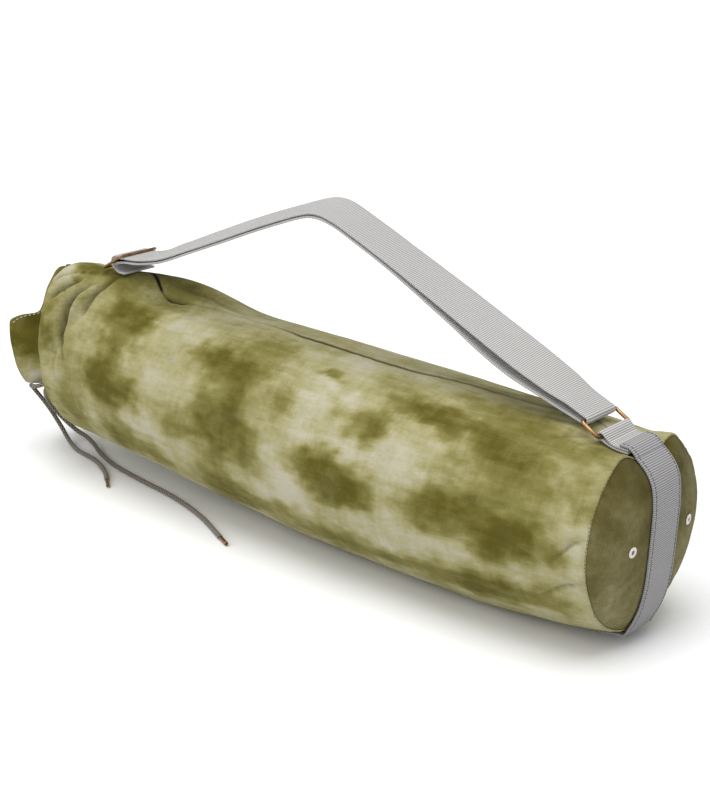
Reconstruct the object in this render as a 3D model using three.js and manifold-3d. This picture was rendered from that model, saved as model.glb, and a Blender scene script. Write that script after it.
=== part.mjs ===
// Yoga mat bag lying on its belly, millimetres, +Z up, +X from the gathered mouth to the round base.
// The near side, with the loose drawcord tails, is -Y. The surface it lies on is Z = 0.
import * as THREE from 'three';
import { mergeVertices } from 'three/addons/utils/BufferGeometryUtils.js';
import Module from 'manifold-3d';

const wasm = await Module();
wasm.setup();

// Driving dimensions
const BAG_LENGTH = 615;
const BAG_RADIUS = 85;
const MIDDLE_SHIFT = 33.9;
const CLOTH = 1.5;
const GAP = 0.3;
const SEAM_GAP = 0.55;
const NECK_REACH = 42;
const COLLAR_REACH = 50;
const BASE_BULGE = 16;
const BASE_LEAN = 4;
const BASE_HEM = 8;
const WEB_WIDTH = 38;
const WEB_THICK = 1.8;
const WIRE = 3;
const RING_WIDTH = 47;
const RING_DEPTH = 20;
const WIRE_CORNER = 0.85;
const SLIDER_WIRE = 2.6;
const SLIDER_WIDTH = 47;
const SLIDER_DEPTH = 32;
const CORD_DIAMETER = 4.5;
const CORD_PLAY = 0.8;
const AGLET_LENGTH = 15;
const AGLET_DIAMETER = 3.6;
const CHANNEL_WIDTH = 15;
const CHANNEL_CLOTH = 1.2;
const CHANNEL_OPENING = 26;
const EYELET_SPREAD = 39.4;
const EYELET_HOLE = 3.8;
const EYELET_FLANGE = 8.6;
const EYELET_METAL = 0.6;
const TAB_REACH = 6;
const TAB_PLAY = 0.4;
const WEB_TUCK = 24;
const BAND_PLAY = 0.3;
const STRAP_TOP = 295.5;
const RING_BACK = 29.4;
const SLIDER_IN = 44;
const SLIDER_RISE = 11.5;
const SEWN_RUN = 13;
const SLIDER_PLAY = 0.45;

// How finely round shapes are cut
const SIDES = 44;
const WIRE_SIDES = 8;
const TURN_STEP = 18;
const FINE_STEP = 0.6;
const FLATNESS = 0.07;

// Places that follow from the sizes
const MOUTH_X = MIDDLE_SHIFT - BAG_LENGTH / 2;
const BASE_X = MIDDLE_SHIFT + BAG_LENGTH / 2;
const HEM_ALONG = 1 - BASE_HEM / BAG_LENGTH;
const CORD_RADIUS = CORD_DIAMETER / 2;
const TOP = 90;
const BOTTOM = 270;

// Body profile: along is a share of the bag's length from the mouth rim; radius, lift and the underside's
// sag on the surface are shares of the bag's radius
const PROFILE = [
  { along: 0.0, radius: 0.87, lift: 0.276, sag: 0.0 },
  { along: 0.12, radius: 0.918, lift: 0.224, sag: 0.0 },
  { along: 0.26, radius: 0.963, lift: 0.137, sag: 0.0 },
  { along: 0.42, radius: 1.005, lift: 0.053, sag: 0.085 },
  { along: 0.61, radius: 1.018, lift: -0.018, sag: 0.03 },
  { along: 0.795, radius: 0.992, lift: -0.03, sag: 0.01 },
  { along: 0.92, radius: 0.962, lift: 0.043, sag: 0.0 },
  { along: 1.0, radius: 0.929, lift: 0.136, sag: 0.0 },
];
const SAG_SPREAD = 21;

// The tent that the strap pulls up: height is a share of the bag's radius, angle and spread are degrees
const TENT = [
  { along: -0.02, height: 0.375, angle: 112, spread: 38 },
  { along: 0.062, height: 0.265, angle: 100, spread: 34 },
  { along: 0.12, height: 0.23, angle: 86, spread: 24 },
  { along: 0.18, height: 0.2, angle: 78, spread: 18 },
  { along: 0.245, height: 0.13, angle: 76, spread: 17 },
  { along: 0.31, height: 0.035, angle: 76, spread: 16 },
  { along: 0.37, height: 0.0, angle: 76, spread: 16 },
  { along: 1.0, height: 0.0, angle: 76, spread: 16 },
];

// Where the base webbing presses the top edge in: depth is a share of the bag's radius
const PRESS = [
  { along: 0.0, depth: 0.0 },
  { along: 0.905, depth: 0.0 },
  { along: 0.93, depth: 0.035 },
  { along: 0.953, depth: 0.11 },
  { along: 0.98, depth: 0.19 },
  { along: 1.0, depth: 0.212 },
];
const PRESS_SPREAD = 22;

// Folds and dents: along, length and depth are shares, angle, width and drift are degrees
const FOLDS = [
  { along: 0.165, length: 0.045, angle: 97, width: 7, depth: 0.075, drift: -3 },
  { along: 0.045, length: 0.035, angle: 133, width: 9, depth: 0.095, drift: -16 },
  { along: 0.02, length: 0.03, angle: 158, width: 8, depth: 0.06, drift: -14 },
  { along: 0.03, length: 0.04, angle: 58, width: 9, depth: 0.06, drift: 10 },
  { along: 0.02, length: 0.03, angle: 22, width: 9, depth: 0.05, drift: 6 },
  { along: 0.02, length: 0.03, angle: 215, width: 9, depth: 0.04, drift: 8 },
  { along: 0.02, length: 0.03, angle: 318, width: 10, depth: 0.05, drift: -8 },
  { along: 0.9, length: 0.05, angle: 116, width: 8, depth: 0.035, drift: -9 },
  { along: 0.95, length: 0.05, angle: 192, width: 9, depth: 0.03, drift: 12 },
  { along: 0.98, length: 0.05, angle: 48, width: 20, depth: 0.05, drift: -8 },
  { along: 0.35, length: 0.12, angle: 168, width: 14, depth: 0.02, drift: 10 },
  { along: 0.62, length: 0.12, angle: 140, width: 13, depth: 0.018, drift: -10 },
  { along: 0.5, length: 0.15, angle: 20, width: 15, depth: 0.02, drift: 8 },
];

// The neck beyond the rim: out is a share of the neck's reach, radius of the bag's radius
const NECK = [
  { out: 0.0, radius: 0.87, tent: 1.0, gather: 0.0 },
  { out: 0.22, radius: 0.855, tent: 1.0, gather: 0.006 },
  { out: 0.38, radius: 0.79, tent: 0.85, gather: 0.014 },
  { out: 0.47, radius: 0.68, tent: 0.55, gather: 0.026 },
  { out: 0.54, radius: 0.575, tent: 0.18, gather: 0.026 },
  { out: 0.62, radius: 0.54, tent: 0.0, gather: 0.016 },
  { out: 1.0, radius: 0.54, tent: 0.0, gather: 0.016 },
];
const GATHERS = 9;

// The collar's free hem: angle in degrees, out is a share of the collar's reach, radius of the bag's radius
const HEM = [
  { angle: 0, out: 0.86, radius: 0.74 },
  { angle: 30, out: 0.66, radius: 0.7 },
  { angle: 50, out: 0.7, radius: 0.86 },
  { angle: 68, out: 0.7, radius: 0.96 },
  { angle: 86, out: 0.6, radius: 0.95 },
  { angle: 104, out: 0.4, radius: 0.84 },
  { angle: 128, out: 0.26, radius: 0.7 },
  { angle: 142, out: 0.58, radius: 0.79 },
  { angle: 147, out: 0.67, radius: 0.81 },
  { angle: 152, out: 0.64, radius: 0.8 },
  { angle: 172, out: 0.5, radius: 0.76 },
  { angle: 199, out: 0.26, radius: 0.75 },
  { angle: 212, out: 0.14, radius: 0.6 },
  { angle: 232, out: 0.3, radius: 0.6 },
  { angle: 268, out: 0.8, radius: 0.62 },
  { angle: 300, out: 0.62, radius: 0.7 },
  { angle: 330, out: 0.9, radius: 0.66 },
];

// The strap's arch: along is a share of the span between its bars, height of the strap's top
const UPPER_LAYER = [
  { along: 0.035, height: 0.722 },
  { along: 0.1, height: 0.756 },
  { along: 0.17, height: 0.803 },
  { along: 0.25, height: 0.857 },
  { along: 0.33, height: 0.91 },
  { along: 0.4, height: 0.953 },
  { along: 0.44, height: 0.976 },
  { along: 0.465, height: 0.986 },
  { along: 0.49, height: 0.985 },
  { along: 0.52, height: 0.97 },
  { along: 0.56, height: 0.941 },
  { along: 0.62, height: 0.895 },
  { along: 0.74, height: 0.799 },
  { along: 0.86, height: 0.7 },
];
const LOWER_LAYER = [
  { along: 0.035, height: 0.71 },
  { along: 0.1, height: 0.745 },
  { along: 0.17, height: 0.793 },
  { along: 0.25, height: 0.847 },
  { along: 0.33, height: 0.9 },
  { along: 0.4, height: 0.943 },
  { along: 0.44, height: 0.966 },
  { along: 0.465, height: 0.9755 },
  { along: 0.49, height: 0.974 },
  { along: 0.52, height: 0.959 },
  { along: 0.56, height: 0.928 },
  { along: 0.62, height: 0.881 },
  { along: 0.74, height: 0.77 },
  { along: 0.86, height: 0.656 },
];

// Degrees that each layer of the strap leans towards the near side, along it from slider to ring
const STRAP_ROLL = [
  { along: 0, upper: 0, lower: 0 },
  { along: 0.04, upper: 4, lower: 4 },
  { along: 0.1, upper: 13, lower: 13 },
  { along: 0.25, upper: 15, lower: 15 },
  { along: 0.4, upper: 12, lower: 12 },
  { along: 0.48, upper: 11, lower: 11 },
  { along: 0.54, upper: 8, lower: 8 },
  { along: 0.62, upper: 8, lower: 7 },
  { along: 0.74, upper: 12, lower: 6 },
  { along: 0.86, upper: 14, lower: 4 },
  { along: 0.93, upper: 9, lower: 0 },
  { along: 0.975, upper: 0, lower: 0 },
  { along: 1, upper: 0, lower: 0 },
];

// Routes of the loose tails after they leave the channel's opening, chosen by hand; z 0 is the surface
const TAIL_A = [
  { x: -310.5, y: -47, z: 76 },
  { x: -317, y: -51.8, z: 72 },
  { x: -327, y: -53, z: 69.5 },
  { x: -338, y: -46.5, z: 66.5 },
  { x: -346, y: -37.5, z: 58.5 },
  { x: -341, y: -27, z: 40 },
  { x: -330, y: -20, z: 18 },
  { x: -320.5, y: -19.5, z: 6.5 },
  { x: -309, y: -23, z: 2.8 },
  { x: -292, y: -29, z: 2.6 },
  { x: -257.5, y: -35.5, z: 2.6 },
  { x: -224, y: -50.5, z: 2.6 },
  { x: -209, y: -61, z: 2.6 },
];
const TAIL_B = [
  { x: -309.6, y: -42.4, z: 70.2 },
  { x: -313.6, y: -44.4, z: 69.3 },
  { x: -318.6, y: -43.8, z: 64.8 },
  { x: -324.4, y: -39.4, z: 56.6 },
  { x: -330, y: -31, z: 44.5 },
  { x: -326.5, y: -20.5, z: 28.5 },
  { x: -314, y: -12.5, z: 14.5 },
  { x: -303, y: -9.5, z: 9.5 },
  { x: -289, y: -11.5, z: 5.6 },
  { x: -272, y: -18, z: 2.9 },
  { x: -238, y: -30, z: 2.6 },
  { x: -187, y: -39.5, z: 2.6 },
  { x: -130, y: -47.5, z: 2.6 },
  { x: -78, y: -61.5, z: 2.6 },
  { x: -30, y: -82, z: 2.6 },
];

const materials = {
  canvas: new THREE.MeshStandardMaterial({ color: 0x8f9262, roughness: 0.95, metalness: 0 }),
  base: new THREE.MeshStandardMaterial({ color: 0x85854f, roughness: 0.95, metalness: 0 }),
  channel: new THREE.MeshStandardMaterial({ color: 0xa5a37e, roughness: 0.95, metalness: 0 }),
  webbing: new THREE.MeshStandardMaterial({ color: 0x9fa09f, roughness: 0.85, metalness: 0 }),
  copper: new THREE.MeshStandardMaterial({ color: 0x9a6a45, roughness: 0.35, metalness: 1 }),
  cord: new THREE.MeshStandardMaterial({ color: 0x7f7a6c, roughness: 0.9, metalness: 0 }),
  eyelet: new THREE.MeshStandardMaterial({ color: 0xe6e4de, roughness: 0.4, metalness: 0.3 }),
};

const rad = THREE.MathUtils.degToRad;

// Smooth value of one column between the rows of a table, by monotone cubic pieces
function fromTable(rows, position, key, column) {
  const last = rows.length - 1;
  if (position <= rows[0][key]) return rows[0][column];
  if (position >= rows[last][key]) return rows[last][column];
  const slopeOf = (i) => (rows[i + 1][column] - rows[i][column]) / (rows[i + 1][key] - rows[i][key]);
  const tangentAt = (i) => {
    if (i === 0) return slopeOf(0);
    if (i === last) return slopeOf(last - 1);
    const before = slopeOf(i - 1);
    const after = slopeOf(i);
    return before * after <= 0 ? 0 : (2 * before * after) / (before + after);
  };
  let row = 0;
  while (position > rows[row + 1][key]) row += 1;
  const step = rows[row + 1][key] - rows[row][key];
  const t = (position - rows[row][key]) / step;
  const start = rows[row][column] * (1 + 2 * t) * (1 - t) ** 2 + tangentAt(row) * step * t * (1 - t) ** 2;
  const end = rows[row + 1][column] * t * t * (3 - 2 * t) + tangentAt(row + 1) * step * t * t * (t - 1);
  return start + end;
}

// The same for a table that closes on itself after a full turn
function fromTurn(rows, angle, column) {
  const turns = [-360, 0, 360].flatMap((shift) => rows.map((row) => ({ ...row, angle: row.angle + shift })));
  return fromTable(turns, angle, 'angle', column);
}

// Difference of two angles in degrees, between -180 and 180
const turnBetween = (a, b) => ((((a - b) % 360) + 540) % 360) - 180;

const bell = (distance, width, power = 2) => Math.exp(-(Math.abs(distance / width) ** power));

// Height of the cloth tube's middle line at a share of the length
function centreHeight(along) {
  const radius = fromTable(PROFILE, along, 'along', 'radius');
  return BAG_RADIUS * (radius + fromTable(PROFILE, along, 'along', 'lift'));
}

function tentAt(along, angle) {
  const away = turnBetween(angle, fromTable(TENT, along, 'along', 'angle'));
  return fromTable(TENT, along, 'along', 'height') * bell(away, fromTable(TENT, along, 'along', 'spread'));
}

function foldsAt(along, angle) {
  let depth = 0;
  for (const fold of FOLDS) {
    const run = (along - fold.along) / fold.length;
    const away = turnBetween(angle, fold.angle + fold.drift * run);
    depth += fold.depth * bell(run, 1) * bell(away, fold.width);
  }
  return depth;
}

// Radius of the body cloth's outside, as a share of the bag's radius
function bodyShare(along, angle) {
  const press = fromTable(PRESS, along, 'along', 'depth') * bell(turnBetween(angle, TOP), PRESS_SPREAD, 4);
  const sag = fromTable(PROFILE, along, 'along', 'sag') * bell(turnBetween(angle, BOTTOM), SAG_SPREAD);
  const radius = fromTable(PROFILE, along, 'along', 'radius');
  return radius + sag + tentAt(along, angle) - foldsAt(along, angle) - press;
}

// A point of a cross-section; what reaches below the surface that the bag lies on is flattened
function sectionPoint(x, share, centre, angle, inset) {
  const radius = BAG_RADIUS * share - inset;
  const y = radius * Math.cos(rad(angle));
  const z = centre + radius * Math.sin(rad(angle));
  return new THREE.Vector3(x, y, Math.max(z, inset));
}

function bodyPoint(along, angle, inset) {
  const x = MOUTH_X + BAG_LENGTH * along;
  return sectionPoint(x, bodyShare(along, angle), centreHeight(along), angle, inset);
}

const gatherAt = (angle) => Math.cos(rad(GATHERS * angle + 40 * Math.sin(rad(angle))));

function neckPoint(out, angle, inset) {
  const fold = foldsAt(0, angle) * Math.max(0, 1 - 2 * out);
  const share = fromTable(NECK, out, 'out', 'radius') - fold
    + tentAt(-0.02 * Math.min(1, 3 * out), angle) * fromTable(NECK, out, 'out', 'tent')
    + fromTable(NECK, out, 'out', 'gather') * gatherAt(angle);
  return sectionPoint(MOUTH_X - NECK_REACH * out, share, centreHeight(0), angle, inset);
}

function collarPoint(reach, angle, inset) {
  const neck = NECK[NECK.length - 1];
  const start = neck.radius + neck.gather * gatherAt(angle) * (1 - reach);
  const share = THREE.MathUtils.lerp(start, fromTurn(HEM, angle, 'radius'), reach ** 1.25);
  const x = MOUTH_X - NECK_REACH - COLLAR_REACH * fromTurn(HEM, angle, 'out') * reach;
  return sectionPoint(x, share, centreHeight(0), angle, inset);
}

// Triangles between rows of points; both ways round may close on themselves
function gridGeometry(rows, closedRows) {
  const count = rows[0].length;
  const positions = rows.flat().flatMap((point) => [point.x, point.y, point.z]);
  const index = [];
  const rowPairs = closedRows ? rows.length : rows.length - 1;
  for (let i = 0; i < rowPairs; i += 1) {
    for (let j = 0; j < count; j += 1) {
      const a = i * count + j;
      const b = i * count + ((j + 1) % count);
      const c = ((i + 1) % rows.length) * count + j;
      const d = ((i + 1) % rows.length) * count + ((j + 1) % count);
      index.push(a, c, b, b, c, d);
    }
  }
  const geometry = new THREE.BufferGeometry();
  geometry.setAttribute('position', new THREE.Float32BufferAttribute(positions, 3));
  geometry.setIndex(index);
  return outward(geometry);
}

function signedVolume(geometry) {
  const at = geometry.getAttribute('position');
  const index = geometry.getIndex();
  const [a, b, c] = [new THREE.Vector3(), new THREE.Vector3(), new THREE.Vector3()];
  let volume = 0;
  for (let i = 0; i < index.count; i += 3) {
    a.fromBufferAttribute(at, index.getX(i));
    b.fromBufferAttribute(at, index.getX(i + 1));
    c.fromBufferAttribute(at, index.getX(i + 2));
    volume += a.dot(b.cross(c)) / 6;
  }
  return volume;
}

// Turns the faces of a closed mesh outwards
function outward(geometry) {
  if (signedVolume(geometry) < 0) {
    const index = geometry.getIndex();
    for (let i = 0; i < index.count; i += 3) {
      const first = index.getX(i);
      index.setX(i, index.getX(i + 1));
      index.setX(i + 1, first);
    }
  }
  return geometry;
}

// Merged copy of a closed geometry, ready for a cut or a join
function toSolid(geometry) {
  const bare = geometry.clone();
  for (const name of Object.keys(bare.attributes)) {
    if (name !== 'position') bare.deleteAttribute(name);
  }
  const merged = outward(mergeVertices(bare, 1e-4));
  return new wasm.Manifold(new wasm.Mesh({
    numProp: 3,
    vertProperties: new Float32Array(merged.getAttribute('position').array),
    triVerts: new Uint32Array(merged.getIndex().array),
  }));
}

function fromSolid(solid) {
  const mesh = solid.getMesh();
  const geometry = new THREE.BufferGeometry();
  geometry.setAttribute('position', new THREE.Float32BufferAttribute(mesh.vertProperties, 3));
  geometry.setIndex(Array.from(mesh.triVerts));
  return geometry;
}

const angles = Array.from({ length: SIDES }, (_, i) => (360 * i) / SIDES);
const anglesBetween = (from, to) => {
  const inside = [0, 360].flatMap((turn) => angles.map((angle) => angle + turn));
  return [from, ...inside.filter((angle) => angle > from + 1 && angle < to - 1), to];
};
const spread = (from, to, count) => (
  Array.from({ length: count + 1 }, (_, i) => from + ((to - from) * i) / count)
);

// A wall of cloth between its outside and the same surface one thickness further in
function clothWall(outerRows, innerRows) {
  return gridGeometry([...outerRows, ...innerRows.reverse()], true);
}

function bodyPanel() {
  const bodyStations = [1, HEM_ALONG, 0.976, 0.965, 0.953, 0.94, 0.92, 0.885, 0.83, 0.75, 0.66, 0.54, 0.42,
    0.33, 0.26, 0.215, 0.18, 0.145, 0.105, 0.065, 0.03];
  const neckStations = [0, 0.22, 0.38, 0.47, 0.54, 0.62, 1];
  const collarStations = [0.3, 0.65, 1];
  const wall = (inset) => [
    ...bodyStations.map((along) => angles.map((angle) => bodyPoint(along, angle, inset))),
    ...neckStations.map((out) => angles.map((angle) => neckPoint(out, angle, inset))),
    ...collarStations.map((reach) => angles.map((angle) => collarPoint(reach, angle, inset))),
  ];
  return clothWall(wall(0), wall(CLOTH));
}

// The base's hem lies inside the end of the body's cloth
const hemPoint = (angle, inset) => bodyPoint(HEM_ALONG, angle, inset);

// Share of the base bulge left at a share of the way from the centre to the seam
const bulgeAt = (way) => 1 - way ** 4;

// The domed base: a point of its outside at an angle and a share of the way out to the seam
function basePoint(way, angle, inset) {
  const edge = bodyPoint(1, angle, CLOTH + SEAM_GAP);
  const centre = centreHeight(1);
  const lean = (BASE_LEAN * way * (edge.z - centre)) / BAG_RADIUS;
  const x = BASE_X + (BASE_BULGE + lean) * bulgeAt(way) - inset;
  return new THREE.Vector3(x, edge.y * way, centre + (edge.z - centre) * way);
}

function baseNormal(way, angle) {
  const at = basePoint(way, angle, 0);
  const out = basePoint(way + 0.02, angle, 0).sub(at);
  const round = basePoint(way, angle + 2, 0).sub(at);
  return out.cross(round).normalize();
}

function basePanel() {
  const ways = [0.08, 0.38, 0.62, 0.8, 0.91, 0.97];
  const rows = [
    angles.map((angle) => hemPoint(angle, 2 * CLOTH + SEAM_GAP)),
    angles.map((angle) => bodyPoint(1, angle, 2 * CLOTH + SEAM_GAP).setX(BASE_X - CLOTH)),
    ...ways.toReversed().slice(1).map((way) => angles.map((angle) => basePoint(way, angle, CLOTH))),
    ...ways.map((way) => angles.map((angle) => basePoint(way, angle, 0))),
    angles.map((angle) => bodyPoint(1, angle, CLOTH + SEAM_GAP)),
    angles.map((angle) => hemPoint(angle, CLOTH + SEAM_GAP)),
  ];
  return withoutEyeletHoles(closeCentre(rows, ways.length));
}

// Joins the dome's middle rows to a point each on the axis, and the hem's two edges to each other
function closeCentre(rows, outerRows) {
  const split = rows.length - outerRows - 2;
  const insideRows = rows.slice(0, split);
  const outsideRows = rows.slice(split);
  const count = rows[0].length;
  const points = [];
  const index = [];
  const addRows = (part, flip) => {
    const base = points.length;
    points.push(...part.flat());
    for (let i = 0; i < part.length - 1; i += 1) {
      for (let j = 0; j < count; j += 1) {
        const a = base + i * count + j;
        const b = base + i * count + ((j + 1) % count);
        const c = a + count;
        const d = b + count;
        index.push(...(flip ? [a, b, c, b, d, c] : [a, c, b, b, c, d]));
      }
    }
    return base;
  };
  const cap = (base, row, centre, flip) => {
    points.push(centre);
    const middle = points.length - 1;
    for (let j = 0; j < count; j += 1) {
      const a = base + row * count + j;
      const b = base + row * count + ((j + 1) % count);
      index.push(...(flip ? [a, middle, b] : [a, b, middle]));
    }
  };
  const insideBase = addRows(insideRows, false);
  const outsideBase = addRows(outsideRows, false);
  const meanOf = (row) => row.reduce((sum, point) => sum.add(point), new THREE.Vector3()).divideScalar(count);
  cap(insideBase, insideRows.length - 1, meanOf(insideRows[insideRows.length - 1]), true);
  cap(outsideBase, 0, meanOf(outsideRows[0]), false);
  const hemOutside = outsideBase + (outsideRows.length - 1) * count;
  for (let j = 0; j < count; j += 1) {
    const next = (j + 1) % count;
    index.push(hemOutside + j, insideBase + j, hemOutside + next);
    index.push(hemOutside + next, insideBase + j, insideBase + next);
  }
  const geometry = new THREE.BufferGeometry();
  geometry.setAttribute('position', new THREE.Float32BufferAttribute(points.flatMap((p) => p.toArray()), 3));
  geometry.setIndex(index);
  return outward(geometry);
}

// An eyelet's place on the base: the point and outward direction half-way up on one side
function eyeletSeat(side) {
  const angle = side < 0 ? 180 : 0;
  const way = EYELET_SPREAD / Math.abs(basePoint(1, angle, 0).y);
  const normal = baseNormal(way, angle);
  if (normal.x < 0) normal.negate();
  return { point: basePoint(way, angle, 0), normal };
}

function eyeletPlacement(side) {
  const { point, normal } = eyeletSeat(side);
  const turn = new THREE.Quaternion().setFromUnitVectors(new THREE.Vector3(0, 1, 0), normal);
  return new THREE.Matrix4().compose(point, turn, new THREE.Vector3(1, 1, 1));
}

function withoutEyeletHoles(geometry) {
  let solid = toSolid(geometry);
  for (const side of [-1, 1]) {
    const radius = EYELET_HOLE / 2 + EYELET_METAL + GAP;
    const drill = new THREE.CylinderGeometry(radius, radius, 8 * CLOTH, 12);
    drill.applyMatrix4(eyeletPlacement(side));
    solid = solid.subtract(toSolid(drill));
  }
  return fromSolid(solid);
}

// A pressed eyelet: barrel through the cloth with a flange on each side
function eyelet(side) {
  const hole = EYELET_HOLE / 2;
  const barrel = hole + EYELET_METAL;
  const flange = EYELET_FLANGE / 2;
  const above = GAP + EYELET_METAL;
  const below = -(CLOTH + 2 * GAP);
  const profile = [
    [hole, below - EYELET_METAL], [flange * 0.85, below - EYELET_METAL], [flange * 0.85, below],
    [barrel, below], [barrel, GAP], [flange, GAP], [flange * 0.92, above], [hole + 0.3, above + 0.3],
    [hole, above], [hole, below - EYELET_METAL],
  ].map(([x, y]) => new THREE.Vector2(x, y));
  const geometry = new THREE.LatheGeometry(profile, 12);
  geometry.applyMatrix4(eyeletPlacement(side));
  return fromSolid(toSolid(geometry));
}

// Throat of the neck, where the drawcord pulls the cloth in
const THROAT_MIDDLE = 0.815;
const THROAT_HALF = CHANNEL_WIDTH / NECK_REACH / 2;
const OPENING_ANGLE = 209;
const OPENING_HALF = CHANNEL_OPENING / 2;

// Distance from the bag's middle line to the cord's middle line in the channel
function cordLoopPoint(angle) {
  return neckPoint(THROAT_MIDDLE, angle, -(CORD_PLAY + CORD_RADIUS));
}

// The cloth strip over the drawcord, open where the two tails come out
function cordChannel() {
  const rise = CORD_DIAMETER + 2 * CORD_PLAY;
  const shape = [0, 0.14, 0.5, 0.86, 1];
  const cover = (t) => GAP + rise * Math.sin(Math.PI * t) ** 0.45;
  const from = OPENING_ANGLE + OPENING_HALF;
  const rows = anglesBetween(from, from + 360 - CHANNEL_OPENING).map((angle) => {
    const line = (lift) => shape.map((t) => {
      const out = THROAT_MIDDLE + THROAT_HALF * (2 * t - 1);
      return neckPoint(out, angle, -(cover(t) + lift));
    });
    return [...line(CHANNEL_CLOTH), ...line(0).reverse()];
  });
  return cappedGrid(rows);
}

// A swept section with a flat face at each end
function cappedGrid(rows) {
  const count = rows[0].length;
  const geometry = gridGeometry(rows, false);
  const index = Array.from(geometry.getIndex().array);
  const last = (rows.length - 1) * count;
  const forward = index[0] === 0 && index[1] === count;
  for (let j = 0; j < count / 2 - 1; j += 1) {
    const ends = [[j, j + 1, count - 1 - j], [j + 1, count - 2 - j, count - 1 - j]];
    for (const [a, b, c] of ends) {
      index.push(...(forward ? [a, b, c] : [a, c, b]));
      index.push(...(forward ? [last + a, last + c, last + b] : [last + a, last + b, last + c]));
    }
  }
  geometry.setIndex(index);
  return outward(geometry);
}

// A round tube with closed ends along a smooth curve through points
function tube(points, diameter, sides, stepLength) {
  const curve = new THREE.CatmullRomCurve3(points, false, 'centripetal');
  const section = new THREE.Shape();
  for (let i = 0; i < sides; i += 1) {
    const turn = (2 * Math.PI * i) / sides;
    const [x, y] = [(diameter / 2) * Math.cos(turn), (diameter / 2) * Math.sin(turn)];
    if (i === 0) section.moveTo(x, y);
    else section.lineTo(x, y);
  }
  section.closePath();
  const steps = Math.max(2, Math.ceil(curve.getLength() / stepLength));
  const geometry = new THREE.ExtrudeGeometry(section, { steps, extrudePath: curve, curveSegments: 1 });
  return fromSolid(toSolid(geometry));
}

function cordLoop() {
  const from = OPENING_ANGLE + OPENING_HALF;
  const points = anglesBetween(from, from + 360 - CHANNEL_OPENING).map(cordLoopPoint);
  return tube(points, CORD_DIAMETER, WIRE_SIDES, CORD_DIAMETER * 2);
}

const routeOf = (rows) => rows.map(({ x, y, z }) => new THREE.Vector3(x, y, z));

// A loose tail, face to face with the end of the loop at an angle; side is the way the loop runs out
function cordTail(rows, angle, side) {
  const end = cordLoopPoint(angle);
  const direction = end.clone().sub(cordLoopPoint(angle - 4 * side)).normalize();
  const start = [GAP, CORD_DIAMETER].map((past) => end.clone().addScaledVector(direction, past));
  return tube([...start, ...routeOf(rows)], CORD_DIAMETER, WIRE_SIDES, CORD_DIAMETER * 2.8);
}

// The metal tip just past a tail's last point, level with it
function aglet(rows) {
  const [before, end] = routeOf(rows).slice(-2);
  const direction = end.clone().sub(before).normalize();
  const start = end.clone().addScaledVector(direction, GAP);
  const tip = start.clone().addScaledVector(direction, AGLET_LENGTH);
  return tube([start, tip], AGLET_DIAMETER, WIRE_SIDES, AGLET_LENGTH);
}

// Webbing: a flat band whose middle line lies in the XZ plane, centred on Y = 0
function webbing(line) {
  const half = WEB_THICK / 2;
  const shape = new THREE.Shape([...offsetLine(line, half), ...offsetLine(line, -half).reverse()]);
  const geometry = new THREE.ExtrudeGeometry(shape, { depth: WEB_WIDTH, bevelEnabled: false, steps: 1 });
  geometry.rotateX(Math.PI / 2);
  geometry.translate(0, WEB_WIDTH / 2, 0);
  return fromSolid(toSolid(geometry));
}

// The same band leaning sideways: lean gives the degrees that lift its far edge at each point of its line
function leaningWebbing(line, lean) {
  const half = WEB_THICK / 2;
  const rows = line.map((point, i) => {
    const run = line[Math.min(line.length - 1, i + 1)].clone().sub(line[Math.max(0, i - 1)]).normalize();
    const out = new THREE.Vector3(-run.y, 0, run.x);
    const turn = rad(lean(point, i)) * (out.z < 0 ? -1 : 1);
    const across = new THREE.Vector3(0, Math.cos(turn), 0).addScaledVector(out, Math.sin(turn));
    const face = out.clone().multiplyScalar(Math.cos(turn));
    face.y -= Math.sin(turn);
    return [[1, 1], [-1, 1], [-1, -1], [1, -1]].map(([side, level]) => (
      new THREE.Vector3(point.x, 0, point.y)
        .addScaledVector(across, (side * WEB_WIDTH) / 2)
        .addScaledVector(face, level * half)
    ));
  });
  return fromSolid(toSolid(cappedGrid(rows)));
}

// Points of an arc in the XZ plane round a centre, with a short straight lead at each end
function arc(centre, radius, from, to) {
  const count = Math.max(2, Math.ceil(Math.abs(to - from) / TURN_STEP));
  const at = (angle) => new THREE.Vector2(Math.cos(rad(angle)), Math.sin(rad(angle)));
  const points = spread(from, to, count).map((angle) => at(angle).multiplyScalar(radius).add(centre));
  const lead = Math.sign(to - from) * radius * 0.6;
  const before = points[0].clone().addScaledVector(at(from + 90), -lead);
  const after = points[count].clone().addScaledVector(at(to + 90), lead);
  return [before, ...points, after];
}

// Leaves out the points of a line that lie within a tolerance of the rest
function simplify(line, tolerance) {
  const last = line.length - 1;
  if (last < 2) return line;
  const chord = line[last].clone().sub(line[0]).normalize();
  const distances = line.map((point) => Math.abs(point.clone().sub(line[0]).cross(chord)));
  const farthest = distances.indexOf(Math.max(...distances));
  if (distances[farthest] < tolerance) return [line[0], line[last]];
  const before = simplify(line.slice(0, farthest + 1), tolerance);
  return [...before.slice(0, -1), ...simplify(line.slice(farthest), tolerance)];
}

// A smooth line through points of the XZ plane, with more points where it bends
function smoothLine(points) {
  const flat = points.map((point) => new THREE.Vector3(point.x, 0, point.y));
  const curve = new THREE.CatmullRomCurve3(flat, false, 'centripetal');
  const steps = Math.ceil(curve.getLength() / FINE_STEP);
  return simplify(curve.getSpacedPoints(steps).map((p) => new THREE.Vector2(p.x, p.z)), FLATNESS);
}

// Each point of a line moved sideways, to the left of its run
function offsetLine(line, distance) {
  return line.map((point, i) => {
    const run = line[Math.min(line.length - 1, i + 1)].clone().sub(line[Math.max(0, i - 1)]).normalize();
    return new THREE.Vector2(point.x - distance * run.y, point.y + distance * run.x);
  });
}

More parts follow.
